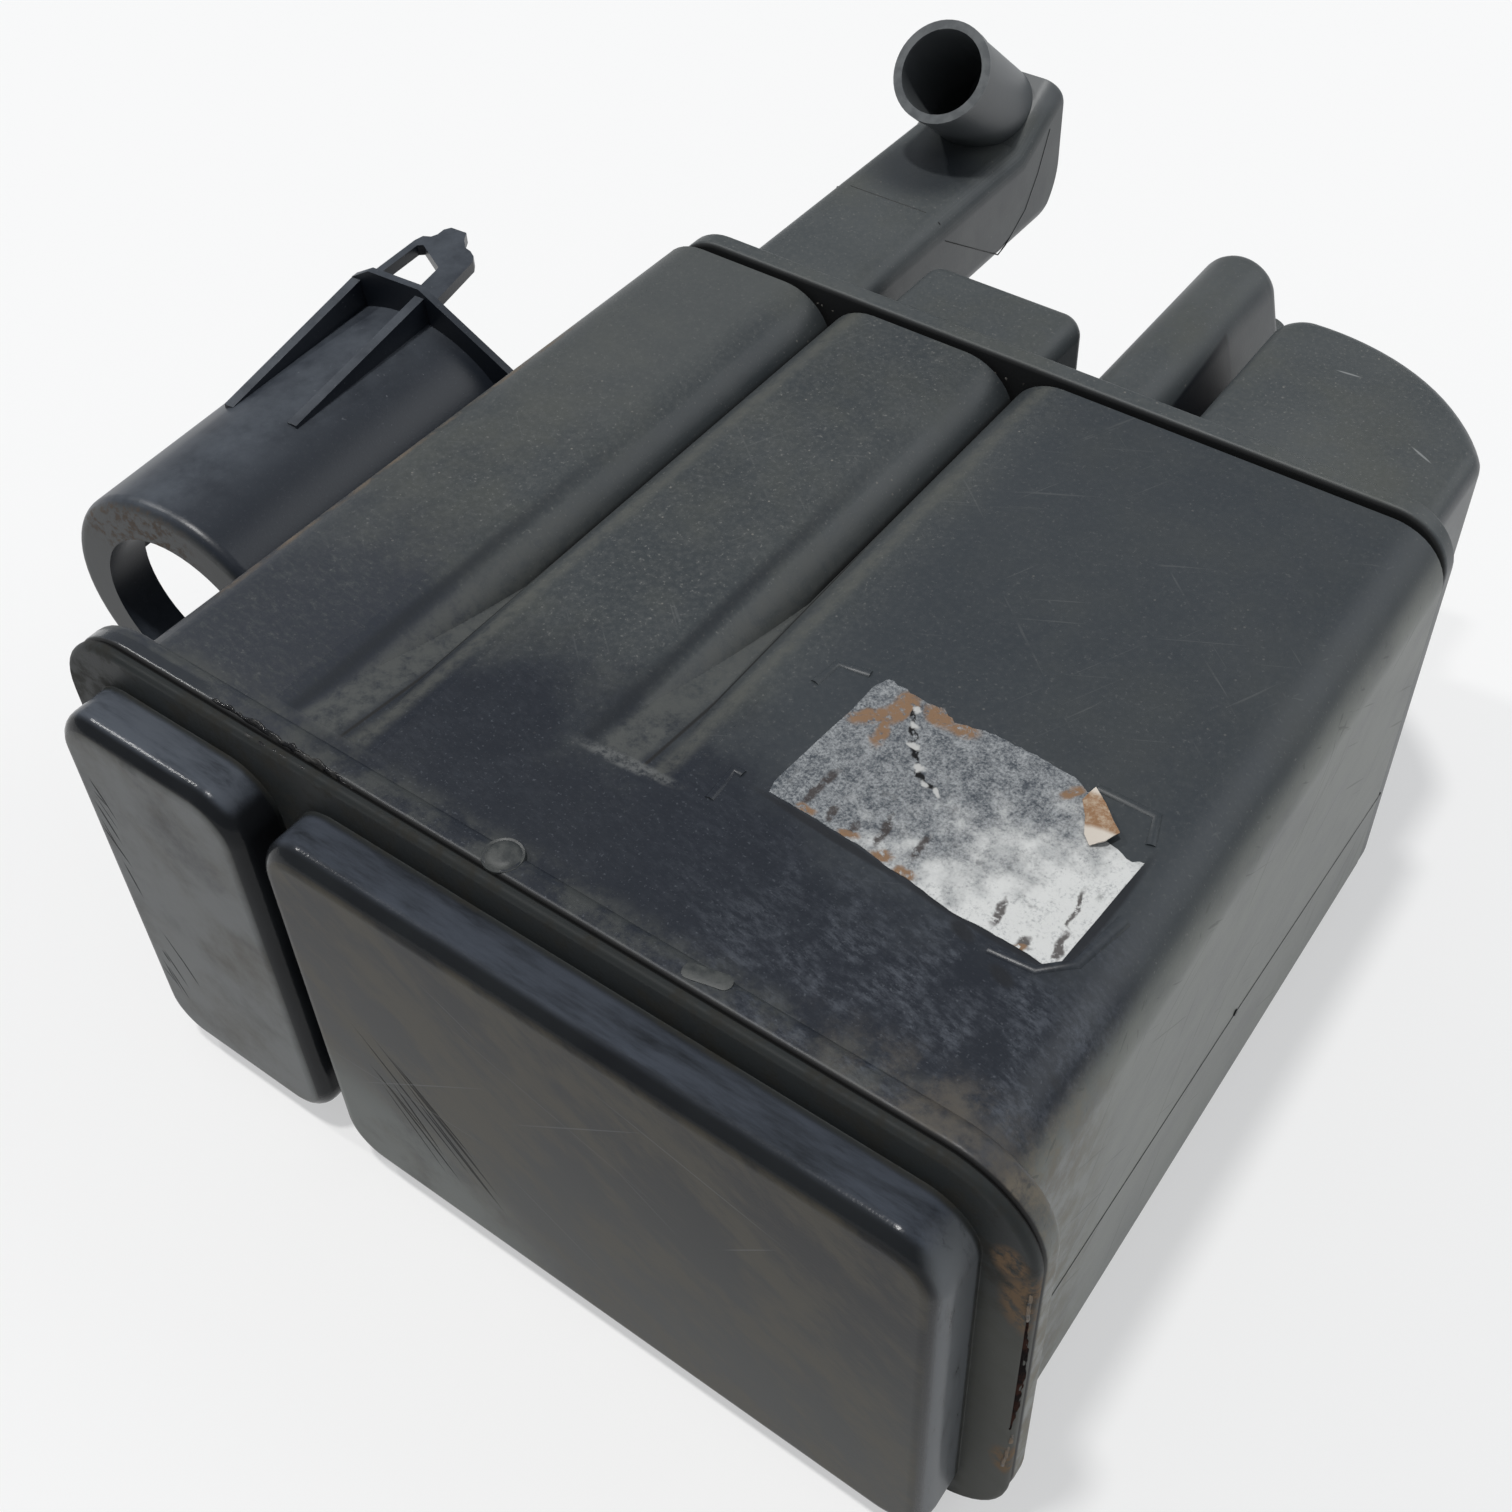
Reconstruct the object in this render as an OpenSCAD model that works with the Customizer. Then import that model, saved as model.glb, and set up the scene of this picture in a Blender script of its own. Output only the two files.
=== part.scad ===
// Charcoal canister: a welded vessel of three chambers with a valve sleeve and a vent elbow.
// X runs across the near end, Y from the near cover to the port end, Z up. Millimetres.

/* [Housing] */
// Width across the three lobes
body_w = 168.5; // [150:0.5:180]
// Height of the lobes
body_h = 94.5; // [80:0.5:110]
// Length of the lobes from the weld seam
body_l = 143.2; // [120:0.1:200]
// Sideways offset of the lobes from the middle of the weld flange
body_shift = 3.2; // [0:0.1:5]
// Width of each narrow lobe
lobe_w = 42.6; // [36:0.1:48]
// Corner radius of the lobes
lobe_r = 11; // [8:0.5:14]
// Width that neighbouring lobes share
lobe_merge = 1; // [0.6:0.1:2]
// Wall thickness
wall = 2.5; // [2:0.1:3]
// Length over which the left groove is filled at the near end
left_groove_start = 7; // [4:0.5:20]
// Length over which the right groove is filled at the near end
right_groove_start = 28; // [10:0.5:40]
// Length over which a groove deepens from its start
groove_ramp = 60; // [20:1:80]
// Width of the inward lip at the port end
lip_w = 3; // [3:0.1:4]
// Thickness of the inward lip at the port end
lip_t = 4.5; // [3:0.1:8]

/* [Weld flanges] */
// Width of the near weld flange
flange_w = 185; // [180:0.5:200]
// Height of the flanges' tops above the lobes
flange_rise = 1; // [0.5:0.1:2]
// Depth of the flanges' bottoms below the lobes
flange_drop = 2; // [1:0.1:4]
// Corner radius of the near flange
flange_r = 16; // [10:0.5:20]
// Thickness of the housing's near flange
flange_t = 5; // [4:0.1:7]
// Edge rounding of the housing's near flange
flange_round = 1.8; // [0.5:0.1:1.9]
// Width of the weld gap at the port end
weld_gap = 1.5; // [1:0.1:3]
// Thickness of the port cover's flange
port_flange_t = 4.6; // [4:0.1:9]
// Corner radius of the port cover's flange
port_flange_r = 11; // [5:0.5:14]
// Edge rounding of the port cover's flange
port_flange_round = 1; // [0.5:0.1:1.8]
// Distance of the port cover's flange from the lobes' left side
port_inset_left = 2.8; // [0:0.1:2.8]
// Distance of the port cover's flange from the lobes' right side
port_inset_right = 0.4; // [0:0.1:2.8]

/* [End cover] */
// Thickness of the cover's flange and walls
cover_t = 2.2; // [1.8:0.1:3]
// Distance of the bosses' front from the weld seam
boss_depth = 11.8; // [9:0.1:16]
// Ledge beside the bosses
boss_side = 8; // [6:0.1:12]
// Ledge above the bosses
boss_top = 7.5; // [5:0.1:10]
// Ledge below the bosses
boss_bottom = 3.4; // [3:0.1:8]
// Gap between the two bosses
boss_gap = 4.4; // [3:0.1:8]
// Sideways offset of that gap from the left partition
boss_gap_shift = 1.3; // [0:0.1:2]
// Corner radius of the bosses
boss_r = 9; // [7:0.5:12]
// Edge rounding of the bosses
boss_round = 3.5; // [2:0.5:6]

/* [Port cover] */
// Wall thickness of the ducts
duct_wall = 2.05; // [1.5:0.05:2.5]
// Height of the lobes' top above the ducts' tops
duct_drop = 2; // [1:0.1:4]
// Sideways place of the elbow duct
elbow_x = -50.9; // [-55:0.1:-46]
// Width of the elbow duct
elbow_w = 28.6; // [26:0.1:30]
// Height of the elbow duct
elbow_h = 23.8; // [20:0.1:30]
// Edge radius of the elbow duct
elbow_r = 5; // [3:0.1:8]
// Radius of the elbow's lower bend
elbow_bend = 14; // [6:0.5:16]
// Radius of the elbow's upper bend
elbow_top_bend = 8; // [6:0.5:12]
// Length of the ramp from the elbow's top to its heel
heel_l = 16; // [12:0.5:24]
// Height of the heel above the elbow's top
heel_rise = 9; // [5:0.5:12]
// Length of the elbow duct behind the port flange
elbow_l = 81.8; // [60:0.1:120]
// Outside diameter of the vent spigot
spigot_od = 21.2; // [20:0.1:25]
// Wall thickness of the vent spigot
spigot_wall = 1.6; // [1.2:0.1:2]
// Length of the vent spigot above the duct's top
spigot_l = 31; // [26:0.5:45]
// Lean of the vent spigot from upright
spigot_lean = 49; // [35:1:55]
// Distance of the spigot's axis from the elbow's end
spigot_back = 5.6; // [5:0.1:14]
// Height of the bead at the spigot's mouth
spigot_bead = 0.3; // [0.2:0.1:1.5]
// Width of the bead at the spigot's mouth
spigot_bead_w = 2.6; // [1:0.1:5]
// Sideways place of the box bump
bump_x = -13.7; // [-16:0.1:-8]
// Width of the box bump
bump_w = 35.6; // [30:0.1:40]
// Height of the box bump
bump_h = 46; // [30:0.5:60]
// Length of the box bump behind the port flange
bump_l = 20; // [10:0.5:30]
// Edge rounding of the box bump
bump_round = 3.5; // [2:0.5:5]
// Sideways place of the purge duct
purge_x = 20.3; // [18:0.1:21]
// Radius of the purge duct's round top
purge_top_r = 8; // [5:0.1:9]
// Width of the purge duct below its sloped sides
purge_w = 22; // [18:0.1:23]
// Depth at which the sloped sides end
purge_slope_h = 16; // [12:0.5:24]
// Corner radius of the purge duct's lower part
purge_corner = 4.5; // [4.5:0.1:8]
// Height of the purge duct
purge_h = 44; // [36:0.5:60]
// Length of the purge duct behind the port flange
purge_l = 57.5; // [40:0.5:70]
// Edge rounding of the purge duct's end
purge_round = 4; // [2:0.5:4]
// Sideways place of the tank boss
tank_x = 44; // [42:0.1:46]
// Radius of the tank boss
tank_r = 44.2; // [40:0.1:48]
// Distance from the tank boss's axis to its left side
tank_flat = 9.2; // [8:0.1:11]
// Distance from the tank boss's axis to its right side
tank_right = 38.8; // [36:0.1:42]
// Corner radius of the tank boss seen from above
tank_corner = 7; // [2:0.5:8]
// Height of the tank boss
tank_h = 62; // [50:0.5:75]
// Edge rounding of the tank boss
tank_round = 4; // [2:0.5:6]
// Distance of the tank nipple to the right of the tank boss's axis
tank_nipple_side = 14; // [8:0.5:20]
// Outside diameter of the tank nipple
tank_nipple_od = 9.5; // [8:0.1:12]
// Outside diameter of the purge nipple
purge_nipple_od = 7.9; // [6:0.1:10]
// Length of the nipples
nipple_l = 22; // [20:0.5:32]
// Wall thickness of the nipples
nipple_wall = 1.4; // [1:0.1:1.8]
// Height of the bead on a nipple
nipple_bead = 1.1; // [0.6:0.1:1.5]
// Distance of the bead from a nipple's tip
nipple_bead_back = 17; // [14:0.5:20]
// Width of the bead on a nipple
nipple_bead_w = 2.4; // [1:0.1:4]

/* [Valve sleeve] */
// Outside radius of the sleeve
sleeve_r = 27.3; // [24:0.1:32]
// Wall thickness of the sleeve
sleeve_wall = 2.6; // [2:0.1:3.5]
// Radius of the ring's bore
socket_r = 18.8; // [16:0.1:21]
// Thickness of the ring
ring_t = 9; // [6:0.5:14]
// Edge rounding of the ring
ring_round = 2.5; // [1:0.1:4]
// Distance of the ring's face from the weld seam
sleeve_y = 30; // [24:0.5:50]
// Depth of the sleeve's axis below the lobes' top
sleeve_drop = 34; // [32:0.5:46]
// Length from the ring's face to the end flange
sleeve_l = 70; // [60:0.5:80]
// Outward turn of the sleeve
sleeve_turn = 4; // [0:0.5:5]
// Depth of the sleeve's sides below its axis
sleeve_skirt = 2.5; // [1.5:0.5:10]
// Depth to which the ring sinks into the housing's wall
sleeve_embed = 1.1; // [0.9:0.1:1.8]
// Height of the end flange above the sleeve
collar_rise = 7.2; // [4:0.1:9]
// Thickness of the end flange
collar_t = 1.6; // [1.2:0.1:5]
// Reach of the end flange to the left of the axis
collar_left = 12.6; // [8:0.1:15]
// Drop of the end flange's left corner
collar_corner = 2.8; // [1:0.1:4]
// Fall of the end flange's right edge, from its top to the housing
collar_fall = 17.4; // [10:0.1:20]
// Thickness of the gusset ribs
gusset_t = 2.2; // [1.5:0.1:3]
// Length of the gusset ribs
gusset_l = 38.5; // [20:0.5:50]
// Place of the right gusset beside the axis
gusset_right = 5; // [3:0.1:12]
// Depth of the right gusset's end below the end flange's top
gusset_drop = 1.7; // [0.5:0.1:3]
// Thickness of the latch tab
latch_t = 2.4; // [1.5:0.1:3]
// Length of the latch tab
latch_l = 22.5; // [18:0.1:26]
// Width of the latch tab
latch_w = 20.2; // [17:0.1:22]
// Width of the latch window
window_w = 10.2; // [6:0.1:11]
// Length of the latch window
window_l = 14.5; // [8:0.1:15]

/* [Chamber contents] */
// Clearance between the contents and the chamber walls
content_gap = 0.3; // [0.1:0.05:0.6]
// Thickness of the filter pads
pad_t = 6; // [3:0.5:10]
// Thickness of the pressure plates
plate_t = 3; // [2:0.1:5]
// Distance of the pressure plates from the weld seam
plate_y = 8; // [6.5:0.1:14]
// Diameter of the holes in the pressure plates
plate_hole = 4; // [2:0.1:5]
// Spacing of the holes in the pressure plates
plate_pitch = 8; // [6:0.5:12]
// Mean diameter of the springs
spring_d = 26; // [20:0.5:30]
// Wire diameter of the springs
spring_wire = 1.8; // [1.2:0.1:2.4]
// Turns of each spring
spring_turns = 4.5; // [3:0.5:6]
// Height of the studs that centre the springs
stud_h = 3; // [2:0.1:5]
// Clearance between a stud and its spring
stud_gap = 0.6; // [0.3:0.1:1.5]

/* [Label] */
// Width of the label
label_w = 50; // [40:0.5:60]
// Length of the label
label_l = 28; // [20:0.5:35]
// Thickness of the label
label_t = 0.2; // [0.1:0.05:0.4]
// Distance of the label's middle from the weld seam
label_y = 46; // [40:0.5:70]
// Distance of the label's middle from the right side
label_side = 36; // [35:0.5:45]

/* [Hidden] */
$fn = 64;
SOFT_FN = 48;
EPS = 1;

LEFT = 0;
MIDDLE = 1;
MAIN = 2;

// Heights
flange_h = flange_drop + body_h + flange_rise;
top_z = flange_drop + body_h;
mid_z = top_z - body_h / 2;

// Lobes and chambers
body_left = body_shift - body_w / 2;
body_right = body_shift + body_w / 2;
lobe_from = [body_left, body_left + lobe_w - lobe_merge, body_left + 2 * (lobe_w - lobe_merge)];
lobe_to = [body_left + lobe_w, body_left + 2 * lobe_w - lobe_merge, body_right];
function lobe_mid(i) = (lobe_from[i] + lobe_to[i]) / 2;
function lobe_width(i) = lobe_to[i] - lobe_from[i];
left_partition = (lobe_to[LEFT] + lobe_from[MIDDLE]) / 2;
right_partition = (lobe_to[MIDDLE] + lobe_from[MAIN]) / 2;
groove_depth = lobe_r - sqrt(lobe_r * lobe_r - pow(lobe_r - lobe_merge / 2, 2));

// Port end
port_front = body_l + weld_gap;
port_back = port_front + port_flange_t;
pocket_back = port_back - duct_wall;
duct_top = top_z - duct_drop;

// Elbow and spigot, in the plane of the elbow's length and height
elbow_end = port_back + elbow_l;
elbow_bottom = duct_top - elbow_h;
spigot_dir = [-sin(spigot_lean), cos(spigot_lean)];
spigot_out = [cos(spigot_lean), sin(spigot_lean)];
spigot_foot = [elbow_end - spigot_back, duct_top];
spigot_reach = 14;
spigot_bore = spigot_od - 2 * spigot_wall;
bend_y = elbow_end - elbow_top_bend;
far_point = spigot_foot + spigot_out * spigot_od / 2;
bend_z = far_point[1] + ((far_point[0] - bend_y) * spigot_out[0] - elbow_top_bend) / spigot_out[1];

// Nipples on the purge duct and the tank boss
tank_nipple_x = tank_x + tank_nipple_side;
tank_nipple_z = duct_top - tank_h / 2;
tank_wall_y = port_back + sqrt(pow(tank_r, 2) - pow(tank_nipple_side, 2));
purge_end = port_back + purge_l;
purge_nipple_z = duct_top - purge_h + purge_w / 2;

// Sleeve
sleeve_x = body_left - sleeve_r + sleeve_embed;
sleeve_z = top_z - sleeve_drop;
collar_top = sleeve_r + collar_rise;
collar_reach = sleeve_r + sleeve_l * sin(sleeve_turn);

// Chamber contents, from the end cover to the port end
spring_seat = cover_t - boss_depth;
pad_y = plate_y + plate_t;
bed_from = pad_y + pad_t;
lip_y = body_l - lip_t;
bed_to = lip_y - pad_t;

// Middle of the whole part, which becomes the origin
part_left = sleeve_x - (sleeve_l + collar_t / 2) * sin(sleeve_turn) - sleeve_r * cos(sleeve_turn);
part_mid_x = (part_left + flange_w / 2) / 2;
part_far = max(elbow_end, purge_end + nipple_l, tank_wall_y + nipple_l);
part_mid_y = (part_far - boss_depth) / 2;

// Shared shapes

module placed() {
    translate([-part_mid_x, -part_mid_y, 0]) children();
}

module rounded_rect(w, h, r) {
    square([w - 2 * r, h], center = true);
    square([w, h - 2 * r], center = true);
    for (x = [-1, 1], z = [-1, 1]) translate([x * (w / 2 - r), z * (h / 2 - r)]) circle(r);
}

// Stands a flat shape up and gives it a length along Y
module along_y(from, to) {
    translate([0, to, 0]) rotate([90, 0, 0]) linear_extrude(to - from) children();
}

// Gives a shape drawn in the plane of Y and Z a width along X
module along_x(from, to) {
    translate([from, 0, 0]) rotate([90, 0, 90]) linear_extrude(to - from) children();
}

// Rounded slab whose edges are softened at its start, its end or both
module soft_slab(w, h, r, from, to, soft, at_start = true, at_end = true) {
    hull() for (a = [0:15:90]) {
        depth = soft * (1 - sin(a));
        inset = soft * (1 - cos(a));
        along_y(from + (at_start ? depth : 0), to - (at_end ? depth : 0))
            rounded_rect(w - 2 * inset, h - 2 * inset, max(r - inset, 0.5), $fn = SOFT_FN);
    }
}

module lobe(i, inset, from, to) {
    along_y(from, to) translate([lobe_mid(i), mid_z])
        rounded_rect(lobe_width(i) - 2 * inset, body_h - 2 * inset, lobe_r - inset);
}

// Housing

// Fills both grooves of a partition at the near end, with a floor that falls in a long ramp
module groove_start(x, length) {
    deep = groove_depth + wall / 2;
    for (flip = [0, 1]) translate([0, 0, mid_z]) mirror([0, 0, flip])
        along_x(x - lobe_r, x + lobe_r)
            polygon([[0, body_h / 2], [length, body_h / 2], [length + groove_ramp, body_h / 2 - deep],
                [0, body_h / 2 - deep]]);
}

module sleeve_frame() {
    translate([sleeve_x, sleeve_y, sleeve_z]) rotate([0, 0, sleeve_turn]) children();
}

// End flange: level over the gussets, then falling in a straight line to the housing
module collar_profile() {
    polygon([[-collar_left, -sleeve_skirt], [-collar_left, collar_top - collar_corner],
        [-gusset_right - collar_corner, collar_top], [gusset_right, collar_top],
        [collar_reach, collar_top - collar_fall], [collar_reach, -sleeve_skirt]]);
}

module sleeve_arch(r) {
    intersection() {
        circle(r);
        translate([-r, 0]) square([2 * r, r]);
    }
    translate([-r, -sleeve_skirt]) square([2 * r, sleeve_skirt]);
}

// Rib that climbs from the sleeve's back to the given height at the end flange
module gusset(x, top) {
    from = sleeve_l - gusset_l;
    to = sleeve_l + collar_t / 2;
    crown = sqrt(pow(sleeve_r, 2) - pow(x, 2));
    along_x(x - gusset_t / 2, x + gusset_t / 2)
        polygon([[from, crown - sleeve_wall / 2], [to, crown - sleeve_wall / 2],
            [to, top], [from, crown + gusset_t / 4]]);
}

// Latch tab seen from above, with its barbed tip and its window
module latch_profile() {
    half = latch_w / 2;
    side = -0.83 * half;
    difference() {
        polygon([[-half, -collar_t / 2], [-half, latch_l * 0.67], [-half * 0.95, latch_l * 0.76],
            [-half * 0.79, latch_l * 0.79], [-half * 0.73, latch_l * 0.85], [-half * 0.73, latch_l * 0.94],
            [-half * 0.64, latch_l], [-half * 0.25, latch_l], [-half * 0.13, latch_l * 0.9],
            [half * 0.08, latch_l * 0.8], [half * 0.24, latch_l * 0.78], [half * 0.41, latch_l * 0.73],
            [half * 0.53, latch_l * 0.65], [half * 0.76, -collar_t / 2]]);
        polygon([[side, 0], [side, window_l * 0.95], [side + window_w * 0.1, window_l],
            [side + window_w * 0.88, window_l * 0.66], [side + window_w, 0]]);
    }
}

module valve_sleeve() {
    latch_z = collar_top - collar_corner - latch_t;
    sleeve_frame() {
        difference() {
            along_y(ring_t / 2, sleeve_l + collar_t / 2) sleeve_arch(sleeve_r);
            along_y(ring_t / 4, sleeve_l + collar_t) translate([0, -EPS]) sleeve_arch(sleeve_r - sleeve_wall);
        }
        difference() {
            along_y(sleeve_l, sleeve_l + collar_t) collar_profile();
            along_y(sleeve_l - EPS, sleeve_l + collar_t + EPS)
                translate([0, -EPS]) sleeve_arch(sleeve_r - sleeve_wall);
        }
        gusset(gusset_t / 2 - collar_left, collar_top - collar_corner);
        gusset(gusset_right, collar_top - gusset_drop);
        translate([0, sleeve_l + collar_t, latch_z]) linear_extrude(latch_t) latch_profile();
    }
}

// Ring at the near end of the sleeve, with a rounded outer edge
module socket_ring() {
    sleeve_frame() rotate([-90, 0, 0]) rotate_extrude($fn = 96) {
        square([sleeve_r - ring_round, ring_t]);
        translate([0, ring_round]) square([sleeve_r, ring_t - ring_round]);
        translate([sleeve_r - ring_round, ring_round]) circle(ring_round);
    }
}

// Web that joins the sleeve to the housing's side as it turns away from it
module sleeve_web() {
    shell = sleeve_r - sleeve_wall / 2;
    near = [sleeve_x + shell, sleeve_y + ring_t / 2];
    far = [sleeve_x + shell - sleeve_l * sin(sleeve_turn), sleeve_y + sleeve_l];
    translate([0, 0, sleeve_z - sleeve_skirt]) linear_extrude(2 * sleeve_skirt)
        polygon([[body_left + wall / 2, near[1]], [body_left + wall / 2, far[1]], far, near]);
}

module housing() {
    color([0.16, 0.17, 0.17]) placed() difference() {
        union() {
            translate([0, 0, flange_h / 2])
                soft_slab(flange_w, flange_h, flange_r, 0, flange_t, flange_round, at_start = false);
            for (i = [LEFT:MAIN]) lobe(i, 0, 0, body_l);
            for (i = [LEFT:MAIN]) lobe(i, lip_w, body_l - EPS, port_front);
            groove_start(left_partition, left_groove_start);
            groove_start(right_partition, right_groove_start);
            valve_sleeve();
            sleeve_web();
            socket_ring();
        }
        for (i = [LEFT:MAIN]) {
            lobe(i, wall, -EPS, lip_y);
            lobe(i, wall + lip_w, lip_y - EPS, port_front + EPS);
        }
        sleeve_frame() rotate([-90, 0, 0]) translate([0, 0, -EPS])
            cylinder(r = socket_r, h = ring_t + 2 * EPS, $fn = 96);
    }
}

// End cover

boss_split = left_partition - boss_gap_shift;
boss_from = [boss_side - flange_w / 2, boss_split + boss_gap / 2];
boss_to = [boss_split - boss_gap / 2, flange_w / 2 - boss_side];
boss_h = flange_h - boss_top - boss_bottom;
boss_mid_z = boss_bottom + boss_h / 2;

module boss(i) {
    translate([(boss_from[i] + boss_to[i]) / 2, 0, boss_mid_z])
        soft_slab(boss_to[i] - boss_from[i], boss_h, boss_r, -boss_depth, -cover_t / 2, boss_round,
            at_end = false);
}

module boss_hollow(i) {
    along_y(spring_seat, EPS) translate([(boss_from[i] + boss_to[i]) / 2, boss_mid_z])
        rounded_rect(boss_to[i] - boss_from[i] - 2 * cover_t, boss_h - 2 * cover_t, boss_r - cover_t);
}

module spring_stud(place) {
    translate([place[0], spring_seat, place[1]]) rotate([-90, 0, 0]) translate([0, 0, -cover_t / 2])
        cylinder(d = spring_d - spring_wire - 2 * stud_gap, h = stud_h + cover_t / 2);
}

module end_cover() {
    color([0.15, 0.16, 0.16]) placed() {
        difference() {
            union() {
                translate([0, 0, flange_h / 2])
                    soft_slab(flange_w, flange_h, flange_r, -cover_t, 0, cover_t / 2, at_end = false);
                boss(0);
                boss(1);
            }
            boss_hollow(0);
            boss_hollow(1);
        }
        for (place = spring_places) spring_stud(place);
    }
}

// Port cover

// Side view of the elbow with its two bends. grow is 0 for the outside and negative for the hollow.
module elbow_side(from, grow, tube_d) {
    low = elbow_bottom - grow;
    far = elbow_end + grow;
    bend = elbow_bend + grow;
    translate([from, low]) square([far - bend - from, bend_z - low]);
    translate([from, low + bend]) square([far - from, bend_z - low - bend]);
    translate([far - bend, low + bend]) circle(bend);
    translate([bend_y, bend_z]) circle(elbow_top_bend + grow);
    translate(spigot_foot) rotate(spigot_lean)
        translate([-spigot_od, spigot_foot_rise()]) square([spigot_od + tube_d / 2, 2 * spigot_l]);
}

// Box of the elbow duct, raised above the duct's top by rise
module elbow_box(from, to, grow, rise) {
    along_y(from, to) translate([elbow_x, duct_top + (rise - elbow_h) / 2])
        rounded_rect(elbow_w + 2 * grow, elbow_h + rise + 2 * grow, elbow_r + grow);
}

// Ramp by which the duct's top climbs to the back of the spigot
module elbow_heel() {
    hull() {
        elbow_box(elbow_end - heel_l, elbow_end - heel_l + EPS, 0, 0);
        elbow_box(elbow_end - EPS, elbow_end, 0, heel_rise);
    }
}

module elbow_form(from, grow, tube_d, mouth) {
    intersection() {
        union() {
            elbow_box(from, elbow_end, grow, 0);
            if (grow == 0) elbow_heel();
            translate([elbow_x, spigot_foot[0], spigot_foot[1]]) rotate([spigot_lean, 0, 0])
                translate([0, 0, -spigot_reach]) cylinder(d = tube_d, h = spigot_reach + spigot_l + mouth);
        }
        along_x(elbow_x - elbow_w, elbow_x + elbow_w) elbow_side(from, grow, tube_d);
    }
}

// Height along the spigot at which the upper bend meets its side
function spigot_foot_rise() = ([bend_y, bend_z] - spigot_foot) * spigot_dir;

module spigot_bead() {
    translate([elbow_x, spigot_foot[0], spigot_foot[1]]) rotate([spigot_lean, 0, 0])
        translate([0, 0, spigot_l - spigot_bead_w])
        cylinder(d = spigot_od + 2 * spigot_bead, h = spigot_bead_w);
}

module bump() {
    translate([bump_x, 0, duct_top - bump_h / 2])
        soft_slab(bump_w, bump_h, bump_round + 1, port_front + EPS, port_back + bump_l, bump_round,
            at_start = false);
}

// Corner points of the purge duct: a round top, sloped sides and an upright lower part
module purge_corners(inset) {
    translate([purge_x, duct_top - purge_top_r]) circle(purge_top_r - inset);
    for (x = [-1, 1], z = [purge_slope_h + purge_corner, purge_h - purge_corner])
        translate([purge_x + x * (purge_w / 2 - purge_corner), duct_top - z]) circle(purge_corner - inset, $fn = 32);
}

module purge_duct() {
    hull() for (a = [0:15:90])
        along_y(port_front + EPS, purge_end - purge_round * (1 - sin(a)))
            purge_corners(purge_round * (1 - cos(a)));
}

// D-shaped plan of the tank boss
module tank_plan(inset) {
    w = tank_flat + tank_right;
    intersection() {
        offset(r = tank_corner - inset) offset(delta = -tank_corner) intersection() {
            translate([tank_x, port_back]) circle(tank_r, $fn = 96);
            translate([tank_x - tank_flat, port_back - tank_r]) square([w, 2 * tank_r]);
        }
        translate([tank_x - tank_flat, port_front + EPS]) square([w, 2 * tank_r]);
    }
}

module tank_boss() {
    hull() for (a = [0:15:90]) {
        depth = tank_round * (1 - sin(a));
        translate([0, 0, duct_top - tank_h + depth]) linear_extrude(tank_h - 2 * depth)
            tank_plan(tank_round * (1 - cos(a)));
    }
}

// Hose nipple with a retaining bead. It starts inside the wall that carries it.
module nipple(d, length) {
    cylinder(d = d, h = length);
    translate([0, 0, length - nipple_bead_back - nipple_bead_w])
        cylinder(d = d + 2 * nipple_bead, h = nipple_bead_w);
}

module port_hollows() {
    for (i = [LEFT:MAIN]) lobe(i, wall + lip_w, port_front - EPS, pocket_back);
    elbow_form(pocket_back - EPS, -duct_wall, spigot_bore, EPS);
    along_y(pocket_back - EPS, port_back + bump_l - duct_wall)
        translate([bump_x, duct_top - bump_h / 2])
        intersection() {
            rounded_rect(bump_w - 2 * duct_wall, bump_h - 2 * duct_wall, bump_round);
            translate([right_partition - wall - lip_w - bump_x - bump_w, -bump_h / 2]) square([bump_w, bump_h]);
        }
    along_y(pocket_back - EPS, purge_end - duct_wall) hull() purge_corners(duct_wall);
    translate([0, 0, duct_top - tank_h + duct_wall]) linear_extrude(tank_h - 2 * duct_wall)
        intersection() {
            tank_plan(duct_wall);
            translate([tank_x - tank_flat, pocket_back - EPS]) square([tank_flat + tank_right, 2 * tank_r]);
        }
    translate([tank_nipple_x, tank_wall_y - 2 * duct_wall, tank_nipple_z]) rotate([-90, 0, 0])
        cylinder(d = tank_nipple_od - 2 * nipple_wall, h = nipple_l + 2 * duct_wall + EPS);
    translate([purge_x, purge_end - 2 * duct_wall, purge_nipple_z]) rotate([-90, 0, 0])
        cylinder(d = purge_nipple_od - 2 * nipple_wall, h = nipple_l + 2 * duct_wall + EPS);
}

module port_cover() {
    color([0.17, 0.18, 0.18]) placed() difference() {
        union() {
            translate([body_shift + (port_inset_left - port_inset_right) / 2, 0, flange_h / 2])
                soft_slab(body_w - port_inset_left - port_inset_right, flange_h, port_flange_r,
                    port_front, port_back, port_flange_round);
            elbow_form(port_front + EPS, 0, spigot_od, 0);
            spigot_bead();
            bump();
            purge_duct();
            tank_boss();
            translate([tank_nipple_x, tank_wall_y - duct_wall, tank_nipple_z]) rotate([-90, 0, 0])
                nipple(tank_nipple_od, nipple_l + duct_wall);
            translate([purge_x, purge_end - duct_wall, purge_nipple_z]) rotate([-90, 0, 0])
                nipple(purge_nipple_od, nipple_l + duct_wall);
        }
        port_hollows();
    }
}

// Chamber contents

module content(i, from, to) {
    lobe(i, wall + content_gap, from, to);
}

module carbon_bed(i) {
    color([0.08, 0.08, 0.08]) placed() content(i, bed_from, bed_to);
}

module port_pad(i) {
    color([0.75, 0.74, 0.7]) placed() content(i, bed_to, lip_y);
}

module spring_pad(i) {
    color([0.75, 0.74, 0.7]) placed() content(i, pad_y, bed_from);
}

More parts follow.
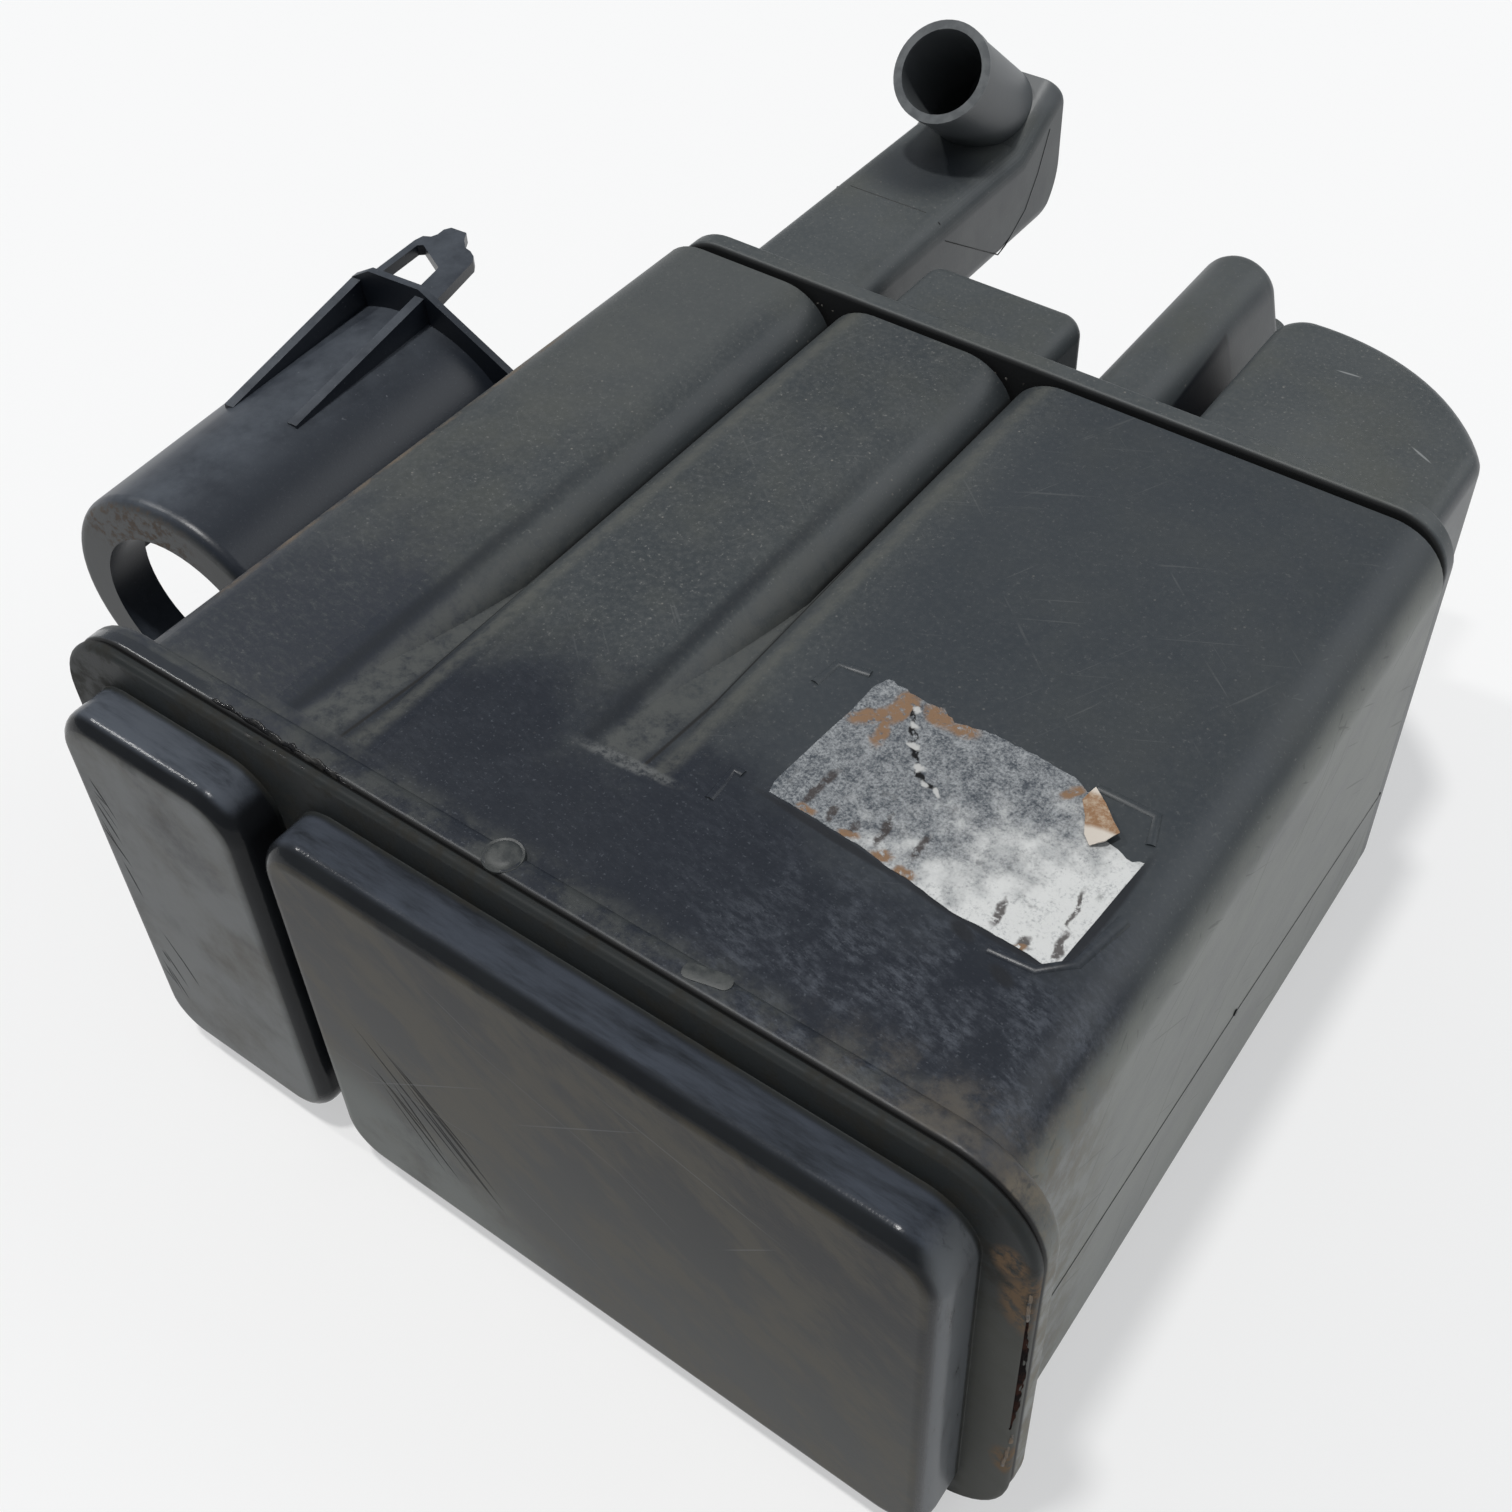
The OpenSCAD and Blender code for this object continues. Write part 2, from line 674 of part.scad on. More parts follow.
// Perforated plate with a grid of holes that keeps clear of its edge
module pressure_plate(i) {
    w = lobe_width(i) - 2 * (wall + content_gap);
    h = body_h - 2 * (wall + content_gap);
    columns = floor((w / 2 - plate_pitch) / plate_pitch);
    rows = floor((h / 2 - plate_pitch) / plate_pitch);
    color([0.3, 0.31, 0.32]) placed() difference() {
        content(i, plate_y, pad_y);
        for (c = [-columns:columns], r = [-rows:rows])
            translate([lobe_mid(i) + c * plate_pitch, plate_y - EPS, mid_z + r * plate_pitch])
                rotate([-90, 0, 0]) cylinder(d = plate_hole, h = plate_t + 2 * EPS, $fn = 16);
    }
}

// Middles of the springs: one in each narrow chamber, two in the wide one
spring_places = [[lobe_mid(LEFT), boss_mid_z], [lobe_mid(MIDDLE), boss_mid_z],
    [lobe_mid(MAIN), boss_mid_z + boss_h / 4], [lobe_mid(MAIN), boss_mid_z - boss_h / 4]];

SPRING_SIDES = 6;
SPRING_STEPS = 18;

// Rings of points along a helix whose end coils lie flat
function spring_rise(t, length, turns) =
    let (flat = 0.75, run = turns - 2 * flat, part = min(max((t - flat) / run, 0), 1))
    spring_wire * 0.55 + part * (length - spring_wire * 1.1);

function spring_points(length, turns) = [for (s = [0:turns * SPRING_STEPS], k = [0:SPRING_SIDES - 1])
    let (t = s / SPRING_STEPS, a = 360 * t, b = 360 * k / SPRING_SIDES + 30,
        r = spring_d / 2 + spring_wire / 2 * cos(b))
    [r * cos(a), r * sin(a), spring_rise(t, length, turns) + spring_wire / 2 * sin(b)]];

function spring_faces(turns) = let (last = turns * SPRING_STEPS)
    concat([[for (k = [0:SPRING_SIDES - 1]) k]],
        [for (s = [0:last - 1], k = [0:SPRING_SIDES - 1])
            let (a = s * SPRING_SIDES + k, b = s * SPRING_SIDES + (k + 1) % SPRING_SIDES)
            [a, a + SPRING_SIDES, b + SPRING_SIDES, b]],
        [[for (k = [SPRING_SIDES - 1:-1:0]) last * SPRING_SIDES + k]]);

module spring(place) {
    color([0.6, 0.61, 0.63]) placed() translate([place[0], spring_seat, place[1]]) rotate([-90, 0, 0])
        polyhedron(spring_points(plate_y - spring_seat, spring_turns), spring_faces(spring_turns));
}

// Label, torn along its far edge
module label() {
    far = label_l / 2;
    color([0.75, 0.75, 0.74]) placed()
        translate([body_right - label_side, label_y, top_z]) linear_extrude(label_t)
        polygon([[-label_w / 2, -far], [label_w / 2, -far], [label_w / 2, far * 0.82], [label_w * 0.36, far * 0.9],
            [label_w * 0.2, far * 0.66], [0, far * 0.8], [-label_w * 0.22, far], [-label_w / 2, far * 0.92]]);
}

housing();
end_cover();
port_cover();
carbon_bed(LEFT);  // carbon_bed_left
carbon_bed(MIDDLE);  // carbon_bed_middle
carbon_bed(MAIN);  // carbon_bed_main
port_pad(LEFT);  // port_pad_left
port_pad(MIDDLE);  // port_pad_middle
port_pad(MAIN);  // port_pad_main
spring_pad(LEFT);  // spring_pad_left
spring_pad(MIDDLE);  // spring_pad_middle
spring_pad(MAIN);  // spring_pad_main
pressure_plate(LEFT);  // pressure_plate_left
pressure_plate(MIDDLE);  // pressure_plate_middle
pressure_plate(MAIN);  // pressure_plate_main
spring(spring_places[0]);  // spring_left
spring(spring_places[1]);  // spring_middle
spring(spring_places[2]);  // spring_main_upper
spring(spring_places[3]);  // spring_main_lower
label();
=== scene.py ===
import math
import random

import bpy
from mathutils import Matrix, Vector


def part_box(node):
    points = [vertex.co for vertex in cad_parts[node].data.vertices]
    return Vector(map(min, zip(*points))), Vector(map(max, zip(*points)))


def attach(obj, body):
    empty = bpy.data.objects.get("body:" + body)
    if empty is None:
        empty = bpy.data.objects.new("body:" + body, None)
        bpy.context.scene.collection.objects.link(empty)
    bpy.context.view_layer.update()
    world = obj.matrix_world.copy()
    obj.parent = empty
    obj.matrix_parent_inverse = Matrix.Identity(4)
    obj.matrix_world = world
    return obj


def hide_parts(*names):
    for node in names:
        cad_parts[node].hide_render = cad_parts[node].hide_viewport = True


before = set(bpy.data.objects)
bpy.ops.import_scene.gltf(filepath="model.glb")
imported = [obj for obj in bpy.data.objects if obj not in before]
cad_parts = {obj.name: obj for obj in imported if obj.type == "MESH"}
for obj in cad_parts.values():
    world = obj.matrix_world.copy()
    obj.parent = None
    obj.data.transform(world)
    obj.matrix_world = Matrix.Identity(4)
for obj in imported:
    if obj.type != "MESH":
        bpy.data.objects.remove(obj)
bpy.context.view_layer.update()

MM = 0.001
chance = random.Random(11)


# Places on the canister, in millimetres

def box_in_mm(node):
    return [[value / MM for value in corner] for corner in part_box(node)]


cover_low, cover_high = box_in_mm("end_cover")
label_low = box_in_mm("label")[0]
RIM_W = cover_high[0] - cover_low[0]
RIM_H = cover_high[2] - cover_low[2]
RIM_X = (cover_low[0] + cover_high[0]) / 2
RIM_R = 16.0
RIM_TOP = cover_high[2]
LOBE_TOP = RIM_TOP - 1.0
SEAM_Y = cover_high[1]
SLOT_Y = box_in_mm("housing")[1][1]
BOSS_FRONT = cover_low[1]
BOSS_GAP_X = RIM_X - 40.25
BODY_LEFT = RIM_X - 81.05
BODY_RIGHT = RIM_X + 87.45
LEFT_GROOVE_X = RIM_X - 38.95
RIGHT_GROOVE_X = RIM_X + 2.65
LEFT_START_Y = SEAM_Y + 7.0
RIGHT_START_Y = SEAM_Y + 28.0
RING_X = BODY_LEFT - 26.2
RING_Y = SEAM_Y + 30.0
RING_Z = LOBE_TOP - 34.0
DUCT_TOP = LOBE_TOP - 2.0
ELBOW_X = RIM_X - 50.9
ELBOW_HALF = 14.3
RIM_RIGHT = RIM_X + RIM_W / 2

# Sizes of small things, in millimetres

MERGE_WITHIN = 0.004
EASED_EDGE = 0.36
BEAD_INSET = 1.3
BEAD_RADIUS = 0.5
LUMP_HEIGHT = 1.1
TORN_THICKNESS = 0.5
PAPER_THICKNESS = 0.14

# The photograph's camera, in its pixels and in degrees

PHOTO_SIZE = 1512
PHOTO_FOCAL = 1879
PHOTO_CENTRE = (797, 623)
PHOTO_TURN = 36.0
PHOTO_RISE = 44.3
PHOTO_ROLL = -1.2
SENSOR_WIDTH = 36

# Black for painted shade in crevices, and for deep scratches

SHADE_AND_SCRATCH_BLACK = (0.004, 0.004, 0.004)


# Hand tools

def select_only(piece):
    bpy.ops.object.select_all(action="DESELECT")
    piece.select_set(True)
    bpy.context.view_layer.objects.active = piece


def add(shape, name, **settings):
    """Adds one of Blender's own shapes at the origin, as the only selected piece."""
    bpy.ops.object.select_all(action="DESELECT")
    shape(**settings)
    piece = bpy.context.active_object
    piece.name = name
    return piece


def leave_mesh():
    bpy.ops.object.mode_set(mode="OBJECT")


def pick_all(piece):
    """Leaves the piece in edit mode with all of it selected."""
    select_only(piece)
    bpy.ops.object.mode_set(mode="EDIT")
    bpy.ops.mesh.select_all(action="SELECT")


def pick_none(piece, kind):
    """Leaves the piece with nothing selected, ready for edges or faces to be picked."""
    select_only(piece)
    bpy.ops.object.mode_set(mode="EDIT")
    bpy.ops.mesh.select_mode(type=kind)
    bpy.ops.mesh.select_all(action="DESELECT")
    leave_mesh()


def pick_edges(piece, test):
    """Leaves the piece in edit mode with the edges selected that pass the test on their two ends."""
    pick_none(piece, "EDGE")
    ends = [vertex.co / MM for vertex in piece.data.vertices]
    for edge in piece.data.edges:
        edge.select = test(ends[edge.vertices[0]], ends[edge.vertices[1]])
    bpy.ops.object.mode_set(mode="EDIT")


def pick_faces(piece, test):
    """Leaves the piece in edit mode with the faces selected whose middle and normal pass the test."""
    pick_none(piece, "FACE")
    for face in piece.data.polygons:
        face.select = test(face.center / MM, face.normal)
    bpy.ops.object.mode_set(mode="EDIT")


def apply_modifier(piece, name, kind, **settings):
    select_only(piece)
    modifier = piece.modifiers.new(name, kind)
    for key, value in settings.items():
        setattr(modifier, key, value)
    bpy.ops.object.modifier_apply(modifier=modifier.name)


def smooth(piece, angle):
    select_only(piece)
    bpy.ops.object.shade_smooth_by_angle(angle=math.radians(angle))


def finish_piece(piece, finish, slot, *nodes):
    piece.data.materials.clear()
    piece.data.materials.append(finish)
    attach(piece, "root")
    if nodes:
        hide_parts(*nodes)


def wire(name, points):
    """A chain of edges through the points, drawn from one vertex."""
    piece = add(bpy.ops.mesh.primitive_plane_add, name, size=MM)
    bpy.ops.object.mode_set(mode="EDIT")
    bpy.ops.mesh.select_mode(type="VERT")
    bpy.ops.mesh.select_all(action="SELECT")
    bpy.ops.mesh.merge(type="CENTER")
    bpy.ops.transform.translate(value=Vector(points[0]) * MM)
    for last, point in zip(points, points[1:]):
        step = (Vector(point) - Vector(last)) * MM
        bpy.ops.mesh.extrude_vertices_move(TRANSFORM_OT_translate={"value": step})
    leave_mesh()
    return piece


def cord_up(piece, radius, sides=1):
    """Turns a wire into a solid line of round section."""
    name = piece.name
    select_only(piece)
    bpy.ops.object.convert(target="CURVE")
    line = bpy.context.active_object
    line.data.bevel_depth = radius * MM
    line.data.bevel_resolution = sides
    line.data.use_fill_caps = True
    bpy.ops.object.convert(target="MESH")
    solid = bpy.context.active_object
    solid.name = name
    return solid


def join(pieces, name):
    select_only(pieces[0])
    for piece in pieces:
        piece.select_set(True)
    bpy.ops.object.join()
    pieces[0].name = name
    return pieces[0]


# Finishes

class Finish:
    """Nodes of one finish. Places are read in millimetres of the canister's own frame."""

    def __init__(self, name):
        self.material = bpy.data.materials.new(name)
        self.material.use_nodes = True
        self.tree = self.material.node_tree
        self.shader = self.tree.nodes["Principled BSDF"]
        coordinates = self.node("TexCoord")
        scaled = self.node("VectorMath")
        scaled.operation = "SCALE"
        scaled.inputs["Scale"].default_value = 1 / MM
        self.feed(coordinates.outputs["Object"], scaled.inputs[0])
        self.place = scaled.outputs[0]
        axes = self.node("SeparateXYZ")
        self.feed(self.place, axes.inputs[0])
        self.x, self.y, self.z = axes.outputs
        surface = self.node("NewGeometry")
        facing = self.node("SeparateXYZ")
        self.feed(surface.outputs["Normal"], facing.inputs[0])
        self.facing_x, self.facing_y, self.facing_z = facing.outputs
        self.colour = None
        self.rough = None
        self.height = None

    def node(self, kind):
        return self.tree.nodes.new("ShaderNode" + kind)

    def feed(self, value, socket):
        """Sets a socket to a number or colour, or links another node's output to it."""
        if isinstance(value, bpy.types.NodeSocket):
            self.tree.links.new(value, socket)
        else:
            socket.default_value = value

    def math(self, kind, first, second=0.0):
        node = self.node("Math")
        node.operation = kind
        self.feed(first, node.inputs[0])
        self.feed(second, node.inputs[1])
        return node.outputs[0]

    def times(self, *values):
        product = values[0]
        for value in values[1:]:
            product = self.math("MULTIPLY", product, value)
        return product

    def plus(self, first, second):
        return self.math("ADD", first, second)

    def ramp(self, value, low, high):
        """0 below low, 1 above high, smooth between. Low may be the larger."""
        node = self.node("MapRange")
        node.interpolation_type = "SMOOTHSTEP"
        self.feed(value, node.inputs["Value"])
        node.inputs["From Min"].default_value = min(low, high)
        node.inputs["From Max"].default_value = max(low, high)
        node.inputs["To Min"].default_value = 0.0 if low < high else 1.0
        node.inputs["To Max"].default_value = 1.0 if low < high else 0.0
        return node.outputs["Result"]

    def band(self, value, low, high, soft):
        rise = self.ramp(value, low - soft, low + soft)
        return self.times(rise, self.ramp(value, high + soft, high - soft))

    def turned(self, turn, stretch, middle=(0, 0, 0)):
        """The place seen from a middle, turned in degrees and drawn out along its axes."""
        node = self.node("Mapping")
        node.vector_type = "TEXTURE"
        node.inputs["Location"].default_value = middle
        node.inputs["Rotation"].default_value = [math.radians(angle) for angle in turn]
        node.inputs["Scale"].default_value = stretch
        self.feed(self.place, node.inputs["Vector"])
        return node.outputs["Vector"]

    def stir(self, size, amount):
        """From here on every place is shifted a little to and fro, so that marks get ragged edges."""
        sway = self.node("TexNoise")
        self.feed(self.place, sway.inputs["Vector"])
        sway.inputs["Scale"].default_value = 1 / size
        sway.inputs["Detail"].default_value = 4
        shift = self.node("Mapping")
        shift.inputs["Location"].default_value = [-amount / 2] * 3
        shift.inputs["Scale"].default_value = [amount] * 3
        self.feed(sway.outputs["Color"], shift.inputs["Vector"])
        moved = self.node("VectorMath")
        moved.operation = "ADD"
        self.feed(self.place, moved.inputs[0])
        self.feed(shift.outputs["Vector"], moved.inputs[1])
        self.place = moved.outputs[0]

    def noise(self, size, detail=3.0, rough=0.55, turn=(0, 0, 0), stretch=(1, 1, 1)):
        node = self.node("TexNoise")
        self.feed(self.turned(turn, stretch), node.inputs["Vector"])
        node.inputs["Scale"].default_value = 1 / size
        node.inputs["Detail"].default_value = detail
        node.inputs["Roughness"].default_value = rough
        return node.outputs["Fac"]

    def patches(self, low, high, *noise):
        """Patches of a noise: 0 where it is below low, 1 where it is above high."""
        return self.ramp(self.noise(*noise), low, high)

    def cells(self, size):
        node = self.node("TexVoronoi")
        self.feed(self.place, node.inputs["Vector"])
        node.inputs["Scale"].default_value = 1 / size
        return node.outputs["Distance"]

    def spot(self, middle, size, turn=(0, 0, 0), soft=0.35):
        """1 inside an ellipsoid of the given half sizes, 0 outside it."""
        node = self.node("VectorMath")
        node.operation = "LENGTH"
        self.feed(self.turned(turn, size, middle), node.inputs[0])
        return self.ramp(node.outputs["Value"], 1 + soft, 1 - soft)

    def stroke(self, start, end, width, upright=False):
        """1 along a straight mark on a level face, or on an upright one that faces the near end."""
        run = Vector(end) - Vector(start)
        turn = [math.degrees(angle) for angle in run.to_track_quat("X", "Z").to_euler()]
        size = (run.length / 2, 3, width / 2) if upright else (run.length / 2, width / 2, 3)
        return self.spot((Vector(start) + Vector(end)) / 2, size, turn)

    def any_of(self, masks):
        together = masks[0]
        for mask in masks[1:]:
            together = self.math("MAXIMUM", together, mask)
        return together

    def mix(self, mask, first, second):
        node = self.node("Mix")
        node.data_type = "RGBA"
        self.feed(mask, node.inputs[0])
        for value, socket in ((first, node.inputs[6]), (second, node.inputs[7])):
            self.feed(value if isinstance(value, bpy.types.NodeSocket) else (*value, 1.0), socket)
        return node.outputs[2]

    def blend(self, mask, first, second):
        node = self.node("Mix")
        self.feed(mask, node.inputs[0])
        self.feed(first, node.inputs[2])
        self.feed(second, node.inputs[3])
        return node.outputs[0]

    def layer(self, mask, colour, rough=None):
        """Lays a colour, and a roughness if given, over what is there where the mask is 1.

        Several masks, or masks and a share, are multiplied."""
        if isinstance(mask, tuple):
            mask = self.times(*mask)
        self.colour = self.mix(mask, self.colour, colour)
        if rough is not None:
            self.rough = self.blend(mask, self.rough, rough)

    def emboss(self, mask, amount):
        """Raises the surface where the mask is 1, or sinks it if the amount is negative."""
        self.height = self.plus(self.height, self.times(mask, amount))

    def done(self, specular=0.5, distance=0.02):
        self.feed(self.colour, self.shader.inputs["Base Color"])
        self.feed(self.rough, self.shader.inputs["Roughness"])
        self.shader.inputs["Specular IOR Level"].default_value = specular
        bump = self.node("Bump")
        bump.inputs["Strength"].default_value = 1.0
        bump.inputs["Distance"].default_value = distance * MM
        self.feed(self.height, bump.inputs["Height"])
        self.feed(bump.outputs["Normal"], self.shader.inputs["Normal"])
        return self.material


def moulded_nylon(name, dark, pale, rough_low, rough_high):
    """Black nylon from the mould, greyed by age: cloudy colour and a fine grain."""
    nylon = Finish(name)
    cloud = nylon.patches(0.32, 0.68, 38, 5, 0.6)
    nylon.colour = nylon.mix(cloud, dark, pale)
    nylon.rough = nylon.blend(nylon.noise(9, 4, 0.6), rough_low, rough_high)
    nylon.height = nylon.noise(0.45, 2, 0.5)
    return nylon


def lay_dust(nylon, upward):
    """Olive dust that lies on what faces up, and pale specks all over."""
    film = nylon.times(upward, nylon.patches(0.42, 0.75, 26, 5, 0.65), 0.5)
    nylon.layer(film, (0.076, 0.079, 0.064), 0.66)
    mottle = nylon.times(upward, nylon.patches(0.40, 0.70, 1.1, 6, 0.8), 0.4)
    nylon.layer(mottle, (0.105, 0.110, 0.108), 0.7)
    specks = nylon.patches(0.64, 0.76, 0.55, 2, 0.5)
    nylon.layer((specks, 0.5), (0.20, 0.20, 0.19), 0.8)
    grit = nylon.times(nylon.ramp(nylon.cells(3.1), 0.085, 0.05), nylon.patches(0.5, 0.62, 17, 2))
    nylon.layer((grit, 0.7), (0.22, 0.21, 0.19), 0.85)


def stain_near_end(nylon):
    """Dark oily stain at the near end of two lobes, rubbed pale again in streaks that follow the seam."""
    wander = nylon.times(nylon.plus(nylon.noise(22, 5, 0.65), -0.5), 46)
    ripple = nylon.times(nylon.plus(nylon.noise(5, 4, 0.7), -0.5), 16)
    reach = nylon.plus(nylon.plus(nylon.y, wander), ripple)
    top = nylon.ramp(nylon.facing_z, 0.2, 0.7)
    side = nylon.ramp(nylon.x, LEFT_GROOVE_X - 22, LEFT_GROOVE_X + 10)
    stain = nylon.times(top, side, nylon.ramp(reach, -58, -88))
    nylon.layer((stain, 0.9), (0.008, 0.011, 0.019), 0.34)
    brushed = nylon.noise(0.9, 6, 0.75, (0, 0, -9), (2.6, 1, 1))
    rightward = nylon.plus(nylon.times(nylon.ramp(nylon.x, 40, 78), 0.60), 0.12)
    cloud = nylon.patches(0.36, 0.62, 9, 5, 0.7)
    haze_and_sheen = nylon.times(stain, cloud, nylon.ramp(brushed, 0.38, 0.66), rightward)
    nylon.layer(haze_and_sheen, (0.080, 0.091, 0.112), 0.52)
    flecks = nylon.times(stain, nylon.patches(0.60, 0.72, 0.6, 3, 0.65))
    nylon.layer((flecks, 0.38), (0.105, 0.117, 0.138), 0.6)
    near = nylon.times(top, nylon.ramp(reach, -46, -84),
                       nylon.ramp(nylon.x, LEFT_GROOVE_X + 2, LEFT_GROOVE_X - 4))
    nylon.layer((near, nylon.ramp(brushed, 0.25, 0.54), 0.78), (0.019, 0.023, 0.034), 0.4)
    rim = nylon.times(top, nylon.ramp(nylon.y, SEAM_Y + 9, SEAM_Y + 4),
                      nylon.patches(0.38, 0.62, 6, 5, 0.7))
    nylon.layer((rim, 0.55), (0.062, 0.066, 0.060), 0.5)
    corner = nylon.times(nylon.ramp(nylon.x, RIM_X + 62, RIM_X + 76),
                         nylon.ramp(nylon.y, SEAM_Y + 8, SEAM_Y + 5.5))
    nylon.layer((corner, 0.7), (0.036, 0.035, 0.038), 0.32)
    smear = nylon.stroke((110.0, -98.7, LOBE_TOP), (109.0, -80.8, LOBE_TOP), 2.6)
    ovals = [nylon.spot((x, y, LOBE_TOP), (2.2, 1.1, 3), (0, 0, -20))
             for x, y in ((84.7, -80.2), (93.0, -83.6), (107.3, -92.6), (112.3, -95.1))]
    beside_label = [nylon.stroke((100.2, -55.5, LOBE_TOP), (98.9, -78.5, LOBE_TOP), 1.9),
                    nylon.stroke((98.4, -79.0, LOBE_TOP), (72.0, -77.6, LOBE_TOP), 1.7),
                    nylon.stroke((74.0, -77.6, LOBE_TOP), (47.6, -75.6, LOBE_TOP), 1.5)]
    nylon.layer((nylon.any_of([smear, *ovals, *beside_label]), 0.8), (0.008, 0.009, 0.012), 0.4)


def dust_in_grooves(nylon):
    """Dusty floors of the grooves, painted shade as a dark line where lobes meet, a painted dark reflection
    on the rounded edge left of it and a painted highlight on the rounded edge right of it.
    """
    black = (0.005, 0.005, 0.005)
    worn = nylon.patches(0.26, 0.60, 3, 5, 0.75)
    for groove, start in ((LEFT_GROOVE_X, LEFT_START_Y), (RIGHT_GROOVE_X, RIGHT_START_Y)):
        begun = nylon.ramp(nylon.y, start - 1.5, start + 1)
        fading = nylon.ramp(nylon.y, start + 95, start + 35)
        floor = nylon.times(begun, fading, nylon.band(nylon.x, groove - 4.6, groove + 2.8, 1.2), worn)
        nylon.layer((floor, 0.85), (0.082, 0.086, 0.082), 0.5)
        # Painted dark reflection along the rounded edge left of the groove
        left_edge_reflection = nylon.times(begun, fading, nylon.band(nylon.x, groove - 7.8, groove - 5.6, 1.0))
        nylon.layer((left_edge_reflection, 0.72), (0.012, 0.015, 0.019), 0.4)
        # Painted highlight along the rounded edge right of the groove, in worn patches
        right_edge_highlight = nylon.times(begun, nylon.band(nylon.x, groove + 5.2, groove + 8.2, 1.2), worn)
        nylon.layer((right_edge_highlight, 0.6), (0.098, 0.100, 0.088), 0.55)
        # Painted shade: a dark line where the floor's crease would be, slanting across it
        slant = nylon.plus(nylon.x, nylon.times(nylon.plus(nylon.y, -start), 0.03))
        line = nylon.times(begun, nylon.band(slant, groove + 3.6, groove + 4.2, 0.2),
                           nylon.ramp(nylon.y, start + 68, start + 55))
        nylon.layer((line, 0.92), black, 0.75)
        # Painted shade in the crease once the groove is a deep V
        crease_shade = nylon.times(nylon.band(nylon.x, groove - 0.45, groove + 0.45, 0.3),
                             nylon.ramp(nylon.y, start + 45, start + 55))
        nylon.layer((crease_shade, 0.9), black, 0.8)
    lip = nylon.spot((RIGHT_GROOVE_X + 1.6, RIGHT_START_Y - 0.6, LOBE_TOP), (8.5, 1.2, 3), (0, 0, 4))
    nylon.layer((lip, nylon.patches(0.36, 0.6, 1.6, 4, 0.7), 0.8), (0.12, 0.125, 0.125), 0.55)


def wear_on_lobes(nylon):
    """Bluer wall on the wide lobe, paler far end of the left one, and thin pale scratches all over."""
    top = nylon.ramp(nylon.facing_z, 0.6, 0.95)
    wide = nylon.times(top, nylon.ramp(nylon.x, RIGHT_GROOVE_X + 6, RIGHT_GROOVE_X + 18))
    nylon.layer((wide, 0.6), (0.029, 0.036, 0.045), 0.42)
    left = nylon.times(top, nylon.ramp(nylon.x, LEFT_GROOVE_X - 4, LEFT_GROOVE_X - 12),
                       nylon.ramp(nylon.y, -45, 10))
    nylon.layer((left, 0.6), (0.088, 0.094, 0.092), 0.5)
    thin = nylon.any_of([nylon.patches(0.69, 0.73, 0.8, 2, 0.5, (0, 0, turn), (45, 1, 1))
                         for turn in (28, 64, -40)])
    where = nylon.patches(0.48, 0.62, 18, 3, 0.6)
    nylon.layer((top, thin, where, 0.3), (0.125, 0.130, 0.130), 0.5)


def soil_on_housing(nylon):
    """Brown soil behind the rim at the right, on the right side, and where the sleeve meets the body, and
    paler green-grey streaks on the right side that are partly painted light.
    """
    patches = nylon.patches(0.38, 0.66, 5, 6, 0.75)
    corner = nylon.times(nylon.ramp(nylon.x, 66, 100), nylon.ramp(nylon.y, -97, -103), patches)
    nylon.layer((corner, 0.5), (0.105, 0.088, 0.064), 0.85)
    right = nylon.ramp(nylon.x, BODY_RIGHT - 4, BODY_RIGHT - 0.5)
    # Paler green-grey streaks on the right side: a green tint that is partly painted light, on the side that
    # faces +X
    streaks = nylon.patches(0.05, 0.72, 9, 6, 0.7, (0, 0, 0), (1, 2, 1))
    sideways = nylon.ramp(nylon.facing_x, 0.6, 0.95)
    nylon.layer((right, sideways, streaks, 0.75), (0.146, 0.158, 0.136), 0.42)
    nylon.layer((right, nylon.ramp(nylon.y, -74, -100), patches, 0.6), (0.20, 0.170, 0.125), 0.85)
    scored = nylon.any_of([nylon.patches(0.68, 0.72, 1.0, 2, 0.5, (turn, 0, 0), (1, 40, 1))
                           for turn in (24, -35, 60)])
    nylon.layer((right, scored, 0.55), (0.040, 0.044, 0.040), 0.5)
    edge = nylon.band(nylon.x, BODY_LEFT - 1, BODY_LEFT + 14, 1.5)
    along = nylon.times(edge, nylon.band(nylon.facing_x, -0.66, -0.46, 0.05), nylon.band(nylon.y, -92, 0, 4))
    nylon.layer((along, patches, 0.8), (0.17, 0.128, 0.088), 0.85)


